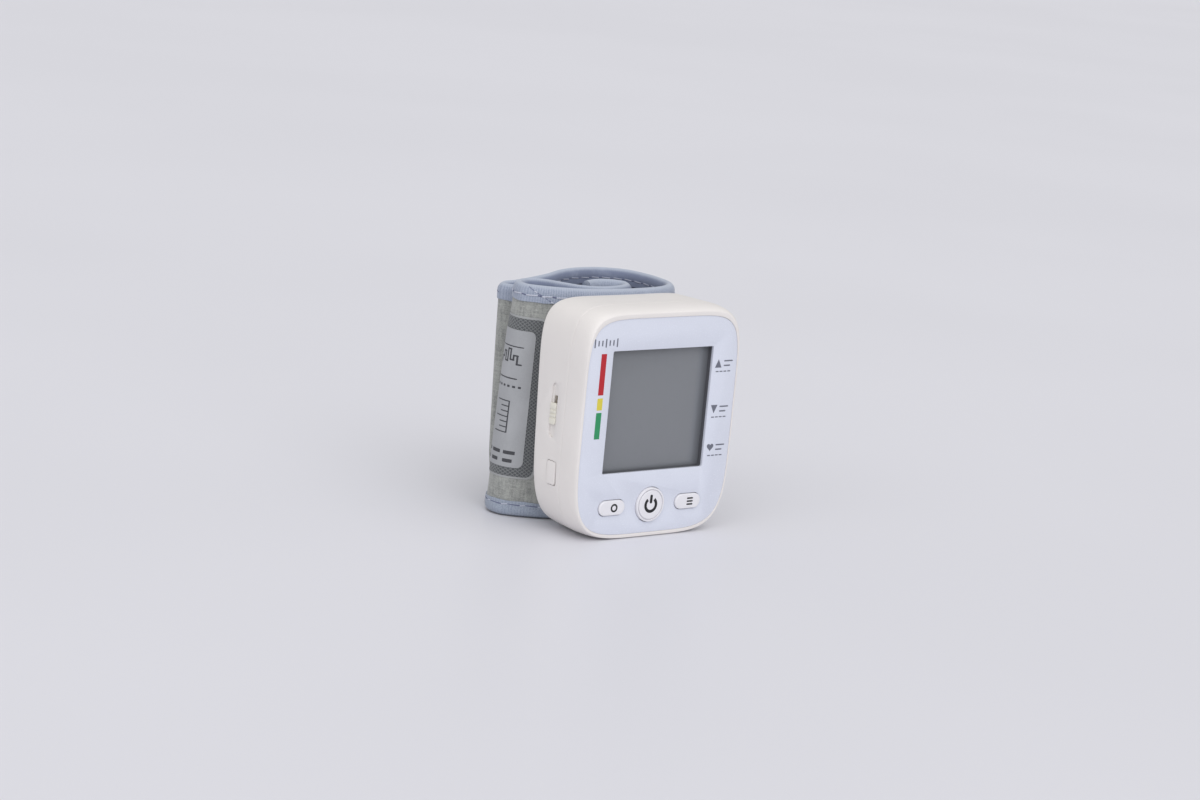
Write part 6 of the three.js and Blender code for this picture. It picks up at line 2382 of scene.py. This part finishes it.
def main() -> None:
    """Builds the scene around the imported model."""
    logging.basicConfig(level=logging.INFO, format="%(name)s: %(message)s")
    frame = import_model()
    scene = bpy.context.scene
    scene.view_settings.view_transform = "Standard"

    front_low, front_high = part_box("front_housing")
    skin = BodySkin(
        centre_x=(front_low.x + front_high.x) / 2,
        front_y=front_low.y,
        half_width=(front_high.x - front_low.x) / 2,
        height=front_high.z,
        seam=front_high.y - front_low.y,
    )
    PhotoCamera().make(skin)
    studio = Studio()
    studio.floor()
    studio.world()
    studio.light()

    white = MouldedPlastic("housing_white", srgb(228, 224, 222), 0.36).make()
    button_white = MouldedPlastic("button_white", srgb(228, 227, 232), 0.32).make()
    panel = GlossyPanel("panel_blue", srgb(213, 217, 230)).make()
    grey_ink = PrintedInk("ink_grey", srgb(104, 107, 120)).make()
    dark_ink = PrintedInk("ink_dark", srgb(12, 13, 19)).make()
    bar_inks = [
        PrintedInk("ink_red", srgb(178, 24, 38)).make(),
        PrintedInk("ink_yellow", srgb(212, 198, 72)).make(),
        PrintedInk("ink_green", srgb(38, 140, 90)).make(),
    ]

    housing = Housing(skin)
    housing.front_half(white)
    housing.rear_half(white)
    housing.bay_walls(white)
    housing.door(white)
    housing.face(panel)

    face = Face()
    face.display()
    face.power_button(button_white)
    face.oval_button("left_button", button_white)
    face.oval_button("right_button", button_white)
    face.colour_bars(bar_inks)
    face.marks(grey_ink, dark_ink)

    side = SideControls(skin)
    side.knob(MouldedPlastic("knob_ivory", srgb(228, 225, 214), 0.34).make())
    side.cover(white)

    cuff = RolledCuff(skin)
    dress_cuff(cuff, CuffFinishes(
        loop=LoopFabric("loop_grey", srgb(173, 175, 171), srgb(118, 120, 119)).make(),
        # Partly the lining's own blue, darkened further as painted shade for the gap into the roll.
        lining=LoopFabric("lining_blue", srgb(112, 118, 139), srgb(86, 91, 112), 0.06).make(),
        # Upper tape: the pale fold colour is a painted highlight along the top fold, the last colour is
        # painted shade on the inner face.
        tape=RibbedTape(
            "tape_periwinkle", srgb(159, 167, 184), srgb(132, 141, 161), srgb(179, 187, 201),
            srgb(108, 117, 143),
        ).make(),
        # Lower tape: the near-black fold colour is a painted contact shadow along the edge on the floor, the
        # last colour is painted shade on the inner face.
        low_tape=RibbedTape(
            "tape_low", srgb(158, 167, 182), srgb(133, 142, 159), srgb(30, 33, 44), srgb(108, 117, 143),
            rib_share=0.1, painted_band_reach=1.0 * MM, painted_band_share=0.95,
        ).make(),
        # The second colour is the painted shade where the thread dips in.
        thread=SpunThread("thread_pale", srgb(200, 204, 218), srgb(98, 103, 130)).make(),
        bladder=SoftRubber("bladder_grey", srgb(92, 95, 99)).make(),
        mesh=OpenMesh("mesh_dark", srgb(130, 133, 135), srgb(72, 75, 78)).make(),
        outline=SpunThread("outline_pale", srgb(172, 174, 176), srgb(172, 174, 176)).make(),
        satin=SatinRibbon("satin_grey", srgb(165, 167, 171)).make(),
        ink=PrintedInk("label_ink", srgb(62, 63, 68)).make(),
    ))
    dress_inside(frame)


if __name__ == "__main__":
    main()
